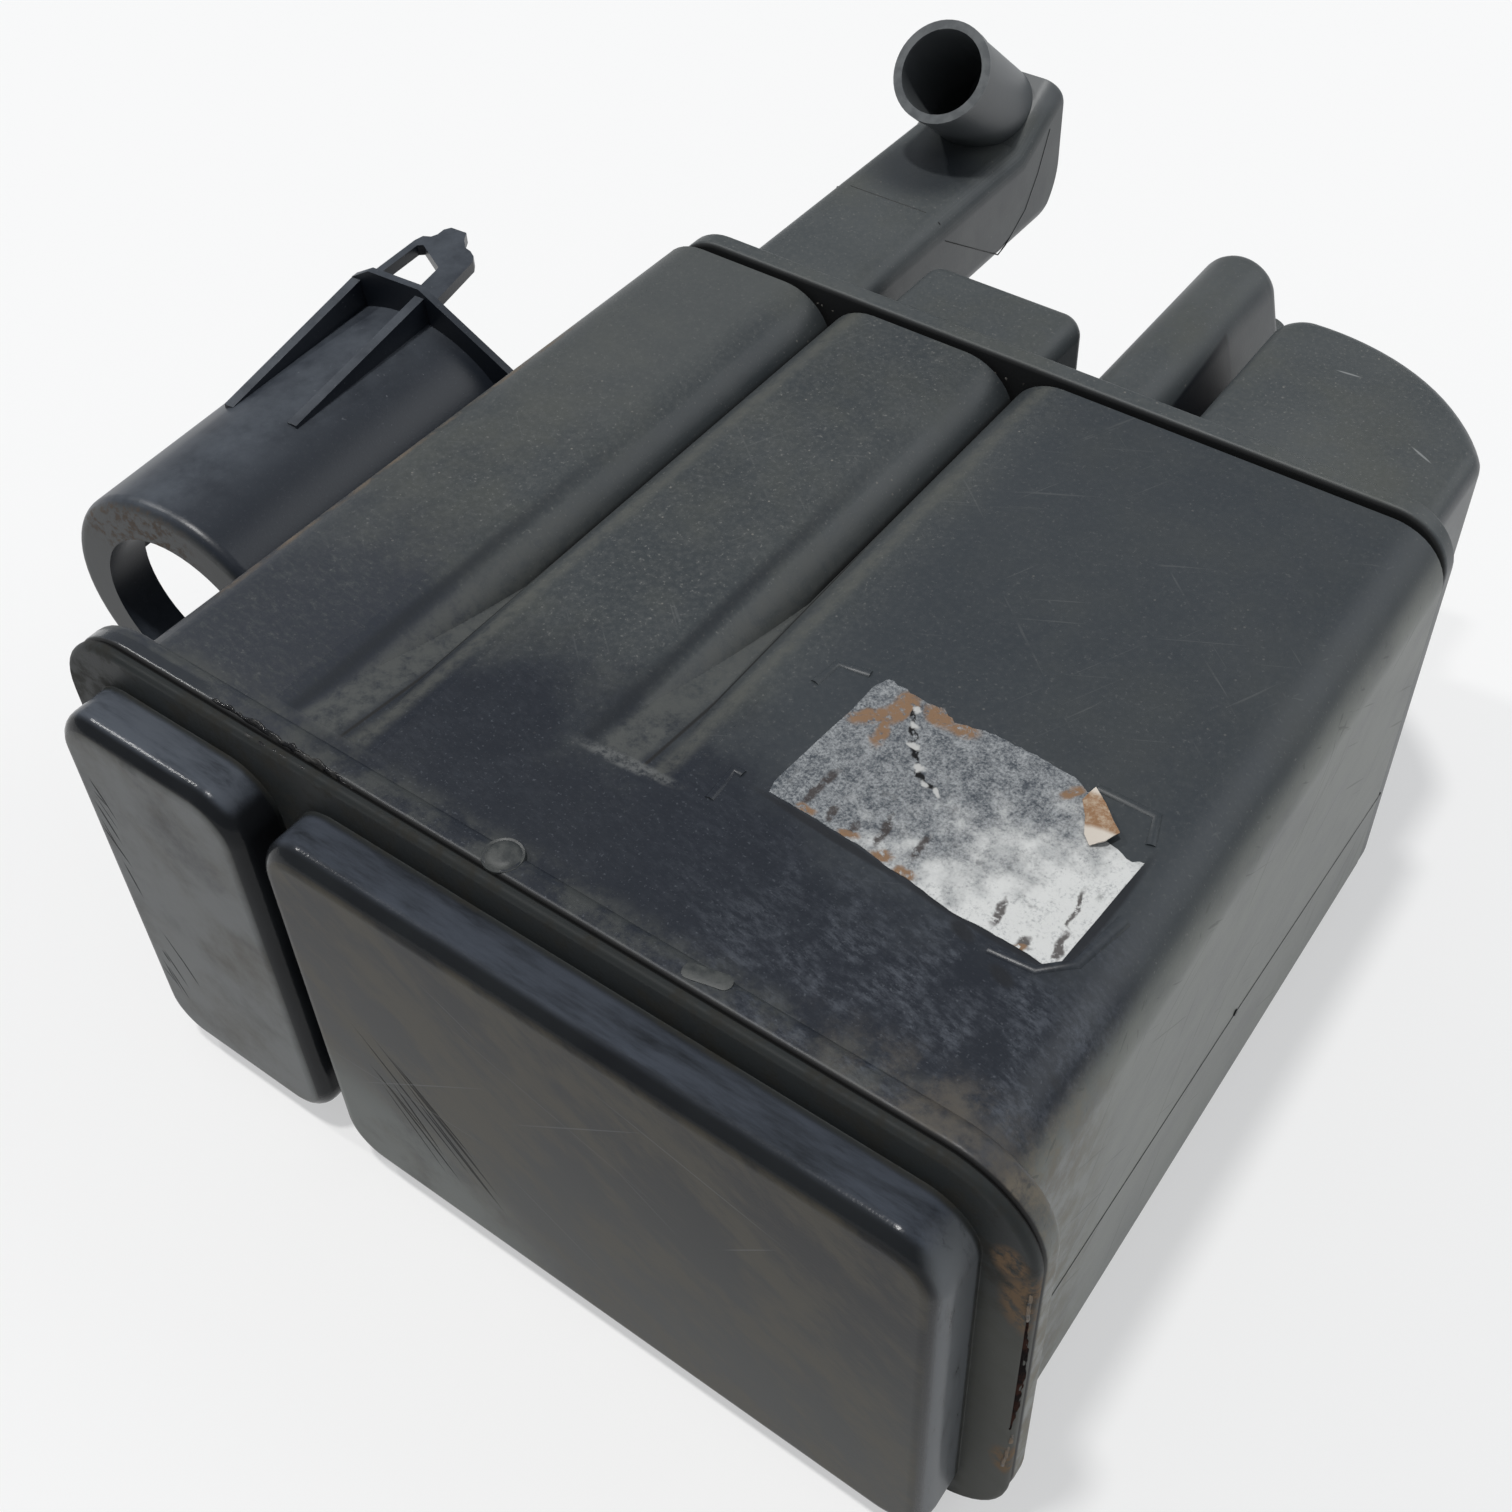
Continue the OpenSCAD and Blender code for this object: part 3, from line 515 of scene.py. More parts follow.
def wear_on_sleeve(nylon):
    """Blue-grey painted light on the sleeve's upper side, so it is darker towards the body; rust at the ring
    and pale flecks behind.
    """
    sleeve = nylon.times(nylon.ramp(nylon.x, BODY_LEFT - 0.5, BODY_LEFT - 2.5), nylon.ramp(nylon.y, -92, -88))
    nylon.layer((sleeve, 0.9), (0.014, 0.018, 0.027), 0.34)
    # Painted light: the upper side paler blue-grey in clouds, fading out towards the body
    painted_light_and_rust = nylon.times(sleeve, nylon.ramp(nylon.x, BODY_LEFT - 13, BODY_LEFT - 29),
                        nylon.ramp(nylon.facing_z, 0.2, 0.9))
    cloud = nylon.patches(0.12, 0.78, 9, 6, 0.7)
    nylon.layer((painted_light_and_rust, cloud, 0.95), (0.072, 0.083, 0.100), 0.44)
    nearward = nylon.ramp(nylon.facing_y, -0.6, -0.95)
    ring = nylon.times(sleeve, nearward, nylon.ramp(nylon.y, RING_Y + 8, RING_Y + 4))
    nylon.layer((ring, 0.8), (0.032, 0.035, 0.035), 0.5)
    stained = nylon.spot((RING_X - 8, RING_Y, RING_Z + 20), (15, 9, 9))
    rust = nylon.times(ring, stained, nylon.patches(0.48, 0.6, 1.8, 5, 0.75))
    nylon.layer((rust, 0.7), (0.092, 0.060, 0.038), 0.9)
    behind = nylon.times(sleeve, nylon.ramp(nylon.y, RING_Y + 34, RING_Y + 46))
    grain = nylon.times(sleeve, nylon.patches(0.58, 0.74, 0.6, 3, 0.6))
    nylon.layer((grain, 0.22), (0.090, 0.100, 0.118), 0.55)
    flecks = nylon.times(behind, nylon.patches(0.70, 0.77, 0.8, 2, 0.5))
    nylon.layer((flecks, 0.4), (0.24, 0.25, 0.27), 0.7)
    plate = nylon.times(sleeve, nearward, nylon.ramp(nylon.y, RING_Y + 50, RING_Y + 60))
    nylon.layer((plate, 0.85), (0.010, 0.013, 0.019), 0.36)


def housing_finish():
    nylon = moulded_nylon("housing_nylon", (0.036, 0.043, 0.048), (0.055, 0.062, 0.065), 0.32, 0.45)
    lay_dust(nylon, nylon.ramp(nylon.facing_z, 0.6, 0.95))
    wear_on_lobes(nylon)
    stain_near_end(nylon)
    dust_in_grooves(nylon)
    soil_on_housing(nylon)
    wear_on_sleeve(nylon)
    ridge = nylon.times(nylon.band(nylon.y, SEAM_Y + 0.7, SEAM_Y + 2.6, 0.4), nylon.ramp(nylon.x, -30, -38))
    nylon.layer((ridge, 0.85), (0.030, 0.034, 0.040), 0.14)
    # Painted shade: the crevice at the weld seam painted black
    crevice = nylon.ramp(nylon.y, SEAM_Y + 0.75, SEAM_Y + 0.45)
    nylon.layer((crevice, 0.95), SHADE_AND_SCRATCH_BLACK, 0.6)
    return nylon.done()


def scratch_bosses(nylon):
    """Dark slanting scratches on both bosses' faces, and fine pale hairlines across the wide one."""
    dark = []
    for _ in range(10):
        x, z = 6.6 + chance.uniform(-8, 12), 42.3 + chance.uniform(-7, 7)
        share, slant = chance.uniform(0.35, 1.0), chance.uniform(-2.5, 2.5)
        dark.append(nylon.stroke((x, BOSS_FRONT, z), (x + 17.6 * share + slant, BOSS_FRONT, z - 23.8 * share),
                                 chance.uniform(0.25, 0.7), upright=True))
    for _ in range(16):
        x, z = -57.5 + abs(chance.gauss(0, 3)), chance.uniform(18, 78)
        run_x, run_z = chance.uniform(0.5, 4), chance.uniform(-9, -2)
        dark.append(nylon.stroke((x, BOSS_FRONT, z), (x + run_x, BOSS_FRONT, z + run_z),
                                 chance.uniform(0.25, 0.6), upright=True))
    scored = nylon.any_of(dark)
    nylon.layer((scored, 0.85), SHADE_AND_SCRATCH_BLACK, 0.6)
    nylon.emboss(scored, -3.0)
    pale = []
    for _ in range(9):
        x, z = chance.uniform(0, 85), chance.uniform(25, 80)
        angle, half = chance.uniform(-0.9, 0.9), chance.uniform(6, 20)
        step_x, step_z = half * math.cos(angle), half * math.sin(angle)
        pale.append(nylon.stroke((x - step_x, BOSS_FRONT, z - step_z), (x + step_x, BOSS_FRONT, z + step_z),
                                 chance.uniform(0.14, 0.26), upright=True))
    nylon.layer((nylon.any_of(pale), 0.6), (0.13, 0.135, 0.135), 0.5)


def cover_finish():
    nylon = moulded_nylon("end_cover_nylon", (0.011, 0.012, 0.014), (0.018, 0.020, 0.022), 0.12, 0.20)
    # Dark faces of the bosses, paler towards the bottom: a painted reflection
    face = nylon.times(nylon.ramp(nylon.facing_y, -0.85, -0.98),
                       nylon.ramp(nylon.y, BOSS_FRONT + 1.8, BOSS_FRONT + 0.8))
    cloud = nylon.noise(17, 5, 0.65)
    low = nylon.ramp(nylon.plus(nylon.z, nylon.times(nylon.plus(cloud, -0.5), 40)), 84, 20)
    nylon.layer(face, (0.006, 0.007, 0.009), 0.34)
    nylon.layer((face, low, 0.4), (0.027, 0.032, 0.028), 0.34)
    # Brown film in slanting drifts, and a rubbed paler corner at the lower left of the wide boss
    drift = nylon.patches(0.40, 0.60, 15, 6, 0.7, (0, 35, 0), (2.2, 1, 1))
    nylon.layer((face, drift, 0.8), (0.060, 0.053, 0.038), 0.42)
    rubbed = nylon.spot((2.0, BOSS_FRONT, 14.0), (30, 6, 15), (0, 20, 0), 0.6)
    nylon.layer((face, rubbed, nylon.ramp(cloud, 0.25, 0.55), 0.85), (0.115, 0.127, 0.120), 0.38)
    # Pale film all over the narrow boss's face
    leftward = nylon.ramp(nylon.x, BOSS_GAP_X + 1, BOSS_GAP_X - 1)
    narrow = nylon.times(face, leftward)
    nylon.layer((narrow, nylon.ramp(cloud, 0.2, 0.62), 0.9), (0.140, 0.147, 0.148), 0.42)
    # Painted blue sheen on the bosses' upper shoulders, paler on the narrow boss
    shoulder = nylon.times(nylon.ramp(nylon.facing_z, 0.55, 0.95),
                           nylon.band(nylon.y, BOSS_FRONT + 2.4, SEAM_Y - 3, 0.8))
    haze_and_sheen = nylon.times(shoulder, nylon.patches(0.16, 0.66, 3, 5, 0.65, (0, 0, 0), (6, 1, 1)))
    nylon.layer((haze_and_sheen, 0.9), (0.066, 0.076, 0.096), 0.24)
    nylon.layer((haze_and_sheen, leftward, 0.9), (0.096, 0.108, 0.128), 0.2)
    # Painted light on the wide boss's right flank, in grey streaks
    flank = nylon.times(nylon.ramp(nylon.facing_x, 0.35, 0.85),
                        nylon.band(nylon.y, BOSS_FRONT + 0.8, SEAM_Y - 3, 0.6),
                        nylon.ramp(nylon.x, RIM_X + 50, RIM_X + 60))
    streaky = nylon.patches(0.16, 0.52, 2, 5, 0.7, (0, 0, 0), (1, 1, 5))
    nylon.layer((flank, streaky, 0.85), (0.140, 0.150, 0.160), 0.4)
    # Grime on the ledge round the bosses, greener at the right
    ledge = nylon.ramp(nylon.y, SEAM_Y - 3.4, SEAM_Y - 2.4)
    nylon.layer((ledge, 0.9), (0.027, 0.030, 0.030), 0.5)
    grime = nylon.times(ledge, nylon.patches(0.44, 0.66, 5, 5, 0.7))
    nylon.layer((grime, 0.7), (0.028, 0.026, 0.021), 0.8)
    right = nylon.times(ledge, nylon.ramp(nylon.x, RIM_X + 83, RIM_X + 86))
    nylon.layer((right, nylon.ramp(nylon.z, 84, 60), 0.85), (0.078, 0.079, 0.070), 0.6)
    rust_patches = nylon.any_of([nylon.spot((115.0, SEAM_Y - 2.2, 74.5), (3.6, 4, 7)),
                                 nylon.spot((115.5, SEAM_Y - 2.2, 26.0), (2.6, 4, 4)),
                                 nylon.spot((112.0, SEAM_Y - 2.2, 83.0), (2.5, 4, 3.5))])
    rust = nylon.times(rust_patches, nylon.patches(0.36, 0.58, 2.2, 5, 0.75))
    nylon.layer((rust, 0.85), (0.175, 0.115, 0.068), 0.88)
    scratch_bosses(nylon)
    # Painted shade: the crevice at the weld seam painted black
    crevice = nylon.ramp(nylon.y, SEAM_Y - 0.62, SEAM_Y - 0.36)
    nylon.layer((crevice, 0.95), SHADE_AND_SCRATCH_BLACK, 0.6)
    return nylon.done(specular=0.12)


def port_finish():
    nylon = moulded_nylon("port_cover_nylon", (0.056, 0.064, 0.068), (0.076, 0.084, 0.086), 0.34, 0.48)
    lay_dust(nylon, nylon.ramp(nylon.facing_z, 0.6, 0.95))
    # Two scratches on the tank boss's top
    scratches = [nylon.stroke((74.6, 69.6, DUCT_TOP), (78.8, 70.0, DUCT_TOP), 0.45),
                 nylon.stroke((94.8, 55.8, DUCT_TOP), (98.8, 53.6, DUCT_TOP), 0.45)]
    nylon.layer((nylon.any_of(scratches), 0.8), (0.26, 0.27, 0.27), 0.6)
    # Blue-black patches on what turns aside
    flank = nylon.times(nylon.ramp(nylon.facing_z, 0.85, 0.5), nylon.patches(0.45, 0.7, 14, 5, 0.65))
    nylon.layer((flank, 0.5), (0.035, 0.041, 0.050), 0.42)
    # Painted shade on the purge duct's right side, in the gap next to the flange
    slope = nylon.plus(nylon.z, nylon.times(nylon.y, -0.082))
    purge_gap_shade = nylon.times(nylon.band(nylon.x, 49.4, 58.5, 0.4), nylon.band(nylon.y, 40, 73.5, 0.7),
                        nylon.ramp(slope, 85.3, 84.4))
    nylon.layer((purge_gap_shade, 0.92), (0.006, 0.008, 0.013), 0.4)
    # Painted shade on the elbow's duct under the spigot, and the spigot paler
    painted_light_and_rust = nylon.spot((-27.5, 87.0, DUCT_TOP), (10.5, 11, 4), (0, 0, -25), 0.45)
    nylon.layer((painted_light_and_rust, 0.75), (0.020, 0.024, 0.030), 0.4)
    nylon.layer((nylon.ramp(nylon.z, DUCT_TOP + 3, DUCT_TOP + 6), 0.85), (0.112, 0.120, 0.126), 0.44)
    # Rubbed mouth of the spigot
    mouth = nylon.spot((ELBOW_X, 92.4, 114.9), (14, 1.1, 14), (139, 0, 0))
    nylon.layer((mouth, nylon.patches(0.34, 0.6, 3, 4, 0.6), 0.7), (0.17, 0.18, 0.185), 0.5)
    # Painted shade in the weld slot at the far end
    slot = nylon.ramp(nylon.y, SLOT_Y + 0.7, SLOT_Y + 0.1)
    nylon.layer((slot, 0.9), (0.007, 0.007, 0.007), 0.85)
    return nylon.done()


def patchy(name, patches, edge, tones, roughness, grain):
    """A finish in two tones and roughnesses: patches and grain are noises, edge is where the tones change."""
    finish = Finish(name)
    mask = finish.patches(*edge, *patches)
    finish.colour = finish.mix(mask, *tones)
    finish.rough = finish.blend(mask, *roughness)
    finish.height = finish.noise(*grain)
    return finish


def melt_finish():
    """Torn and melted nylon at the weld seam: shiny black, soiled at the right side."""
    tones = (0.009, 0.009, 0.010), (0.034, 0.033, 0.031)
    melt = patchy("weld_melt", (4, 5, 0.7), (0.44, 0.66), tones, (0.2, 0.5), (0.5, 4, 0.7))
    soil = melt.times(melt.ramp(melt.x, RIM_X + 84, RIM_X + 91), melt.patches(0.36, 0.58, 3.5, 4, 0.7))
    melt.layer((soil, 0.85), (0.20, 0.150, 0.105), 0.85)
    return melt.done(distance=0.12)


def seam_shade_finish():
    """Painted shade inside the open stretch of seam: a dark sheet, brown-red in places."""
    tones = (0.006, 0.004, 0.004), (0.034, 0.015, 0.011)
    slot = patchy("open_seam_shade", (3, 4, 0.7), (0.46, 0.62), tones, (0.8, 0.95), (0.6, 3, 0.6))
    return slot.done(specular=0.03)


def mark_finish():
    """Raised marks of the mould, rubbed a little paler than the wall they stand on."""
    tones = (0.032, 0.036, 0.037), (0.068, 0.072, 0.069)
    mark = patchy("mould_mark_nylon", (2.5, 4, 0.65), (0.35, 0.7), tones, (0.4, 0.6), (0.45, 2, 0.5))
    return mark.done()


def line_finish():
    """Thin witness lines of the mould, dark with settled dirt."""
    tones = (0.012, 0.013, 0.014), (0.034, 0.035, 0.033)
    line = patchy("witness_line_nylon", (3, 4, 0.6), (0.4, 0.65), tones, (0.5, 0.75), (0.4, 2, 0.5))
    return line.done()


def paper_finish():
    """Weathered label paper: white at the near right, speckled grey elsewhere, brown where it is torn."""
    paper = Finish("label_paper")
    level = LOBE_TOP + 0.2
    speckle = paper.plus(paper.times(paper.noise(0.5, 3, 0.8), 0.55),
                         paper.times(paper.noise(2.6, 5, 0.75), 0.45))
    blotch = paper.noise(6, 4, 0.6)
    grey = paper.mix(paper.ramp(speckle, 0.36, 0.66), (0.060, 0.070, 0.084), (0.36, 0.375, 0.385))
    white = paper.mix(paper.ramp(speckle, 0.30, 0.50), (0.34, 0.35, 0.36), (0.68, 0.685, 0.675))
    diagonal = paper.plus(paper.times(paper.plus(paper.x, -label_low[0]), 0.9),
                          paper.times(paper.plus(paper.y, -label_low[1]), -1.0))
    bright = paper.ramp(paper.plus(diagonal, paper.times(paper.plus(blotch, -0.5), 56)), 4, 30)
    paper.colour = paper.mix(bright, grey, white)
    paper.rough = paper.blend(speckle, 0.72, 0.92)
    smudge = paper.patches(0.60, 0.74, 3.2, 4, 0.6)
    paper.layer((smudge, 0.6), (0.12, 0.125, 0.13), 0.85)
    # Dark smears that run in from the near edge
    paper.stir(2.4, 2.6)
    ragged = paper.patches(0.34, 0.50, 1.4, 4, 0.7)
    smears = [paper.stroke((ax, ay, level), (bx, by, level), width) for ax, ay, bx, by, width in (
        (53.6, -74.6, 54.6, -65.6, 1.5), (57.9, -74.8, 58.4, -71.4, 1.3), (66.9, -74.6, 66.0, -68.6, 1.6),
        (62.3, -74.8, 62.6, -72.2, 1.4), (72.2, -74.0, 72.4, -69.0, 1.5), (87.5, -77.4, 87.1, -72.4, 1.5),
        (93.0, -79.3, 92.6, -76.0, 1.6), (97.7, -77.8, 96.3, -72.2, 1.2), (96.4, -72.6, 95.4, -64.6, 0.8))]
    paper.layer((paper.any_of(smears), ragged, 0.88), (0.052, 0.042, 0.040), 0.9)
    # Brown fibre where the surface is torn away
    tears = [paper.stroke((ax, ay, level), (bx, by, level), width) for ax, ay, bx, by, width in (
        (49.8, -56.4, 55.4, -51.4, 2.9), (54.8, -53.4, 55.9, -46.4, 3.8), (54.8, -52.4, 56.0, -59.0, 2.2),
        (58.6, -47.4, 63.4, -49.6, 3.4), (62.8, -49.4, 68.0, -47.8, 2.6), (84.3, -52.0, 86.2, -48.6, 1.9),
        (53.0, -74.9, 56.4, -74.5, 1.7), (60.6, -75.3, 63.8, -74.5, 1.8), (66.8, -76.0, 70.2, -75.2, 1.8),
        (71.2, -77.0, 74.4, -76.2, 1.8), (91.6, -79.2, 93.8, -78.2, 1.3))]
    paper.layer((paper.any_of(tears), ragged), (0.25, 0.155, 0.094), 0.95)
    # Crack that runs across the grey part, black with white flakes beside it
    crack = ((57.1, -49.0), (58.6, -51.9), (60.6, -55.0), (63.5, -58.4), (65.7, -60.6), (68.3, -61.2))
    gaps = [paper.stroke((*start, level), (*end, level), 1.1) for start, end in zip(crack, crack[1:])]
    broken = paper.patches(0.36, 0.46, 1.1, 3, 0.6)
    paper.layer((paper.any_of(gaps), broken), (0.010, 0.010, 0.011), 0.9)
    flakes = [paper.spot((x + 0.4, y - 0.3, level), (0.95, 0.5, 3), (0, 0, -20)) for x, y in crack]
    paper.layer(paper.any_of(flakes), (0.52, 0.52, 0.51), 0.9)
    paper.height = paper.plus(paper.noise(0.5, 4, 0.7), paper.times(paper.noise(6, 2), 2.0))
    return paper.done(specular=0.25, distance=0.12)


def fibre_finish():
    """Torn back of the paper, brown with paler fibres."""
    fibre = Finish("label_backing")
    fleck = fibre.noise(1.3, 5, 0.75)
    fibre.colour = fibre.mix(fibre.ramp(fleck, 0.40, 0.72), (0.29, 0.165, 0.090), (0.50, 0.40, 0.30))
    ends = fibre.any_of([fibre.ramp(fibre.y, -54.3, -55.3), fibre.ramp(fibre.y, -50.0, -49.0)])
    fibre.colour = fibre.mix(ends, fibre.colour, (0.66, 0.60, 0.53))
    fibre.rough = fibre.blend(fleck, 0.85, 1.0)
    fibre.height = fleck
    return fibre.done(specular=0.2, distance=0.1)


def crumb_finish():
    tones = (0.020, 0.018, 0.017), (0.11, 0.105, 0.095)
    crumb = patchy("slot_crumbs", (1.2, 3, 0.7), (0.4, 0.6), tones, (0.8, 1.0), (0.2, 3, 0.6))
    return crumb.done(specular=0.2)


def charcoal_finish():
    charcoal = Finish("charcoal_granules")
    grain = charcoal.cells(1.6)
    # Painted shade: darker in the hollows between the granules
    hollow_shade = charcoal.ramp(grain, 0.1, 0.6)
    charcoal.colour = charcoal.mix(hollow_shade, (0.035, 0.035, 0.036), (0.008, 0.008, 0.008))
    charcoal.rough = charcoal.blend(charcoal.noise(2, 3), 0.65, 0.95)
    charcoal.height = charcoal.math("SUBTRACT", 1.0, grain)
    return charcoal.done(specular=0.35, distance=0.6)


def felt_finish():
    felt = Finish("filter_felt")
    fibre = felt.noise(0.8, 5, 0.8, (0, 20, 35), (5, 1, 1))
    felt.colour = felt.mix(fibre, (0.50, 0.49, 0.45), (0.74, 0.73, 0.69))
    felt.rough = felt.blend(fibre, 0.9, 1.0)
    felt.height = fibre
    return felt.done(specular=0.15, distance=0.3)


def plate_finish():
    plate = Finish("pressure_plate_nylon")
    cloud = plate.noise(14, 4, 0.6)
    plate.colour = plate.mix(cloud, (0.15, 0.155, 0.16), (0.22, 0.225, 0.23))
    plate.rough = plate.blend(cloud, 0.45, 0.6)
    plate.height = plate.noise(0.5, 2, 0.5)
    return plate.done()


def wire_finish():
    steel = Finish("spring_wire")
    drawn = steel.noise(0.3, 3, 0.6)
    painted_light_and_rust = steel.patches(0.55, 0.7, 5, 4, 0.65)
    steel.colour = steel.mix(drawn, (0.42, 0.42, 0.43), (0.56, 0.56, 0.57))
    steel.rough = steel.blend(drawn, 0.28, 0.42)
    steel.layer((painted_light_and_rust, 0.5), (0.22, 0.13, 0.08), 0.7)
    steel.height = drawn
    steel.shader.inputs["Metallic"].default_value = 0.9
    return steel.done()


# The three mouldings

def depth_in_rim(point):
    """How far a point lies inside the near flange's outline, seen from the near end."""
    across = max(abs(point[0] - RIM_X) - (RIM_W / 2 - RIM_R), 0)
    up = max(abs(point[2] - RIM_H / 2) - (RIM_H / 2 - RIM_R), 0)
    if across == 0 or up == 0:
        return min(RIM_W / 2 - abs(point[0] - RIM_X), RIM_H / 2 - abs(point[2] - RIM_H / 2))
    return RIM_R - math.hypot(across, up)


def on_seam(first, second):
    return all(abs(end[1] - SEAM_Y) < 0.01 and depth_in_rim(end) < 0.3 for end in (first, second))


def moulding(node, name, seam_round=0.0):
    """A merged copy of a moulding, its edge along the near seam rounded and its other sharp edges eased."""
    piece = bpy.data.objects.new(name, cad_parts[node].data.copy())
    bpy.context.scene.collection.objects.link(piece)
    select_only(piece)
    bpy.ops.mesh.customdata_custom_splitnormals_clear()
    pick_all(piece)
    bpy.ops.mesh.remove_doubles(threshold=MERGE_WITHIN * MM)
    bpy.ops.mesh.dissolve_limited(angle_limit=math.radians(0.4))
    leave_mesh()
    if seam_round:
        pick_edges(piece, on_seam)
        bpy.ops.mesh.bevel(offset=seam_round * MM, segments=4, affect="EDGES")
        leave_mesh()
    apply_modifier(piece, "eased edges", "BEVEL", width=EASED_EDGE * MM, segments=2, limit_method="ANGLE",
                   angle_limit=math.radians(38), use_clamp_overlap=True, harden_normals=False)
    smooth(piece, 30)
    apply_modifier(piece, "even shading", "WEIGHTED_NORMAL", mode="FACE_AREA", weight=50, keep_sharp=True)
    return piece


# Weld seam at the near end

def weld_bead():
    """Lumpy bead of melted nylon in the crevice between the two flanges."""
    piece = add(bpy.ops.mesh.primitive_plane_add, "weld_bead", size=1)
    pick_all(piece)
    bpy.ops.transform.resize(value=((RIM_W - 2 * BEAD_INSET) * MM, (RIM_H - 2 * BEAD_INSET) * MM, 1))
    bpy.ops.mesh.bevel(offset=(RIM_R - BEAD_INSET) * MM, segments=14, affect="VERTICES")
    bpy.ops.mesh.select_all(action="SELECT")
    bpy.ops.mesh.delete(type="ONLY_FACE")
    leave_mesh()
    for vertex in piece.data.vertices:
        vertex.co = Vector((vertex.co.x + RIM_X * MM, SEAM_Y * MM, vertex.co.y + RIM_H / 2 * MM))
    pick_edges(piece, lambda a, b: (a - b).length > RIM_R)
    bpy.ops.mesh.subdivide(number_cuts=90)
    leave_mesh()
    bead = cord_up(piece, BEAD_RADIUS)
    lumps = bpy.data.textures.new("melt_lumps", "CLOUDS")
    lumps.noise_scale = 0.0045
    lumps.noise_depth = 3
    apply_modifier(bead, "lumps", "DISPLACE", texture=lumps, texture_coords="LOCAL",
                   strength=LUMP_HEIGHT * MM, mid_level=0.52)
    for vertex in bead.data.vertices:
        vertex.co.z = max(vertex.co.z, 0.0)
    smooth(bead, 60)
    return bead


def torn_strip(name, start, end, out, reach, evenness=0.3):
    """A ragged strip along the seam that reaches out of it, with a more or less even edge."""
    start, run, out = Vector(start), Vector(end) - Vector(start), Vector(out).normalized()
    piece = add(bpy.ops.mesh.primitive_grid_add, name, x_subdivisions=5,
                y_subdivisions=max(14, round(run.length * 1.2)), size=1)
    rows = {}
    for vertex in piece.data.vertices:
        across, along = vertex.co.x + 0.5, vertex.co.y + 0.5
        height = rows.setdefault(round(along, 3), chance.uniform(evenness, 1.0))
        taper = math.sin(math.pi * min(max(along, 0), 1)) ** 0.4
        ragged = Vector([chance.uniform(-0.25, 0.25) * across for _ in range(3)])
        vertex.co = (start + run * along + out * (across * reach * taper * height) + ragged) * MM
    apply_modifier(piece, "thickness", "SOLIDIFY", thickness=TORN_THICKNESS * MM, offset=0.0)
    apply_modifier(piece, "soft", "SUBSURF", levels=1, render_levels=1)
    smooth(piece, 50)
    return piece


# Marks of the mould

def pip():
    """Round ejector pip on the rim: a low dome inside a ring."""
    middle = Vector((RIM_X + 1.2, SEAM_Y + 3.1, RIM_TOP - 0.88)) * MM
    piece = add(bpy.ops.mesh.primitive_cylinder_add, "ejector_pip", vertices=40,
                radius=3.2 * MM, depth=2.0 * MM)
    pick_faces(piece, lambda at, normal: normal.z > 0.9)
    for inset, lift in ((0.45, -0.25), (0.3, 0.34), (0.8, 0.2), (0.7, 0.07)):
        bpy.ops.mesh.inset(thickness=inset * MM)
        bpy.ops.transform.translate(value=(0, 0, lift * MM))
    leave_mesh()
    for vertex in piece.data.vertices:
        vertex.co += middle
    apply_modifier(piece, "eased edges", "BEVEL", width=0.16 * MM, segments=2, limit_method="ANGLE",
                   angle_limit=math.radians(40))
    smooth(piece, 35)
    return piece


def raised_bar(name, start, end, width, top):
    """Low bar with rounded ends, lying between two places on a level face."""
    run = Vector((end[0] - start[0], end[1] - start[1], 0))
    piece = add(bpy.ops.mesh.primitive_cube_add, name, size=MM)
    pick_all(piece)
    bpy.ops.transform.resize(value=(run.length, width, 1.2))
    leave_mesh()
    pick_edges(piece, lambda a, b: abs(a[2] - b[2]) > 0.5)
    bpy.ops.mesh.bevel(offset=width * 0.45 * MM, segments=5, affect="EDGES")
    leave_mesh()
    pick_faces(piece, lambda at, normal: normal.z > 0.9)
    bpy.ops.mesh.inset(thickness=width * 0.2 * MM)
    bpy.ops.transform.translate(value=(0, 0, 0.14 * MM))
    leave_mesh()
    middle = Vector(((start[0] + end[0]) / 2, (start[1] + end[1]) / 2, top - 0.5)) * MM
    turn = Matrix.Rotation(math.atan2(run.y, run.x), 3, "Z")
    for vertex in piece.data.vertices:
        vertex.co = turn @ vertex.co + middle
    smooth(piece, 50)
    return piece


def raised_line(name, points, radius, sides=1):
    line = cord_up(wire(name, points), radius, sides)
    smooth(line, 60)
    return line


def label_corners():
    """Low raised bars that frame the label's corners."""
    level = LOBE_TOP - 0.75
    corners = (
        ((RIM_X + 17.8, -53.0), (RIM_X + 18.4, -47.4), (RIM_X + 24.0, -46.6)),
        ((RIM_X + 18.5, -81.0), (RIM_X + 18.0, -74.2), (RIM_X + 19.8, -74.4)),
        ((RIM_X + 64.3, -47.1), (RIM_X + 73.9, -47.0), (RIM_X + 75.6, -52.5)),
        ((RIM_X + 65.8, -80.8), (RIM_X + 72.7, -80.2), (RIM_X + 76.9, -76.1), (RIM_X + 78.6, -66.0)),
    )
    lines = [raised_line("label_corner", [(x, y, level) for x, y in corner], 1.15, 4) for corner in corners]
    return join(lines, "label_corners")


def parting_line():
    """Witness line of the mould along the body's right side, with the small dot at its middle."""
    level = [(-104.4, 41.6), (-77.8, 40.3), (-30.3, 37.6), (10.5, 33.9), (34.8, 31.6)]
    line = raised_line("parting_line", [(BODY_RIGHT - 0.12, y, z) for y, z in level], 0.22)
    dot = raised_line("parting_dot", [(BODY_RIGHT - 0.5, -30.3, 38.0), (BODY_RIGHT + 0.25, -30.3, 38.0)], 0.7)
    return join([line, dot], "parting_line")


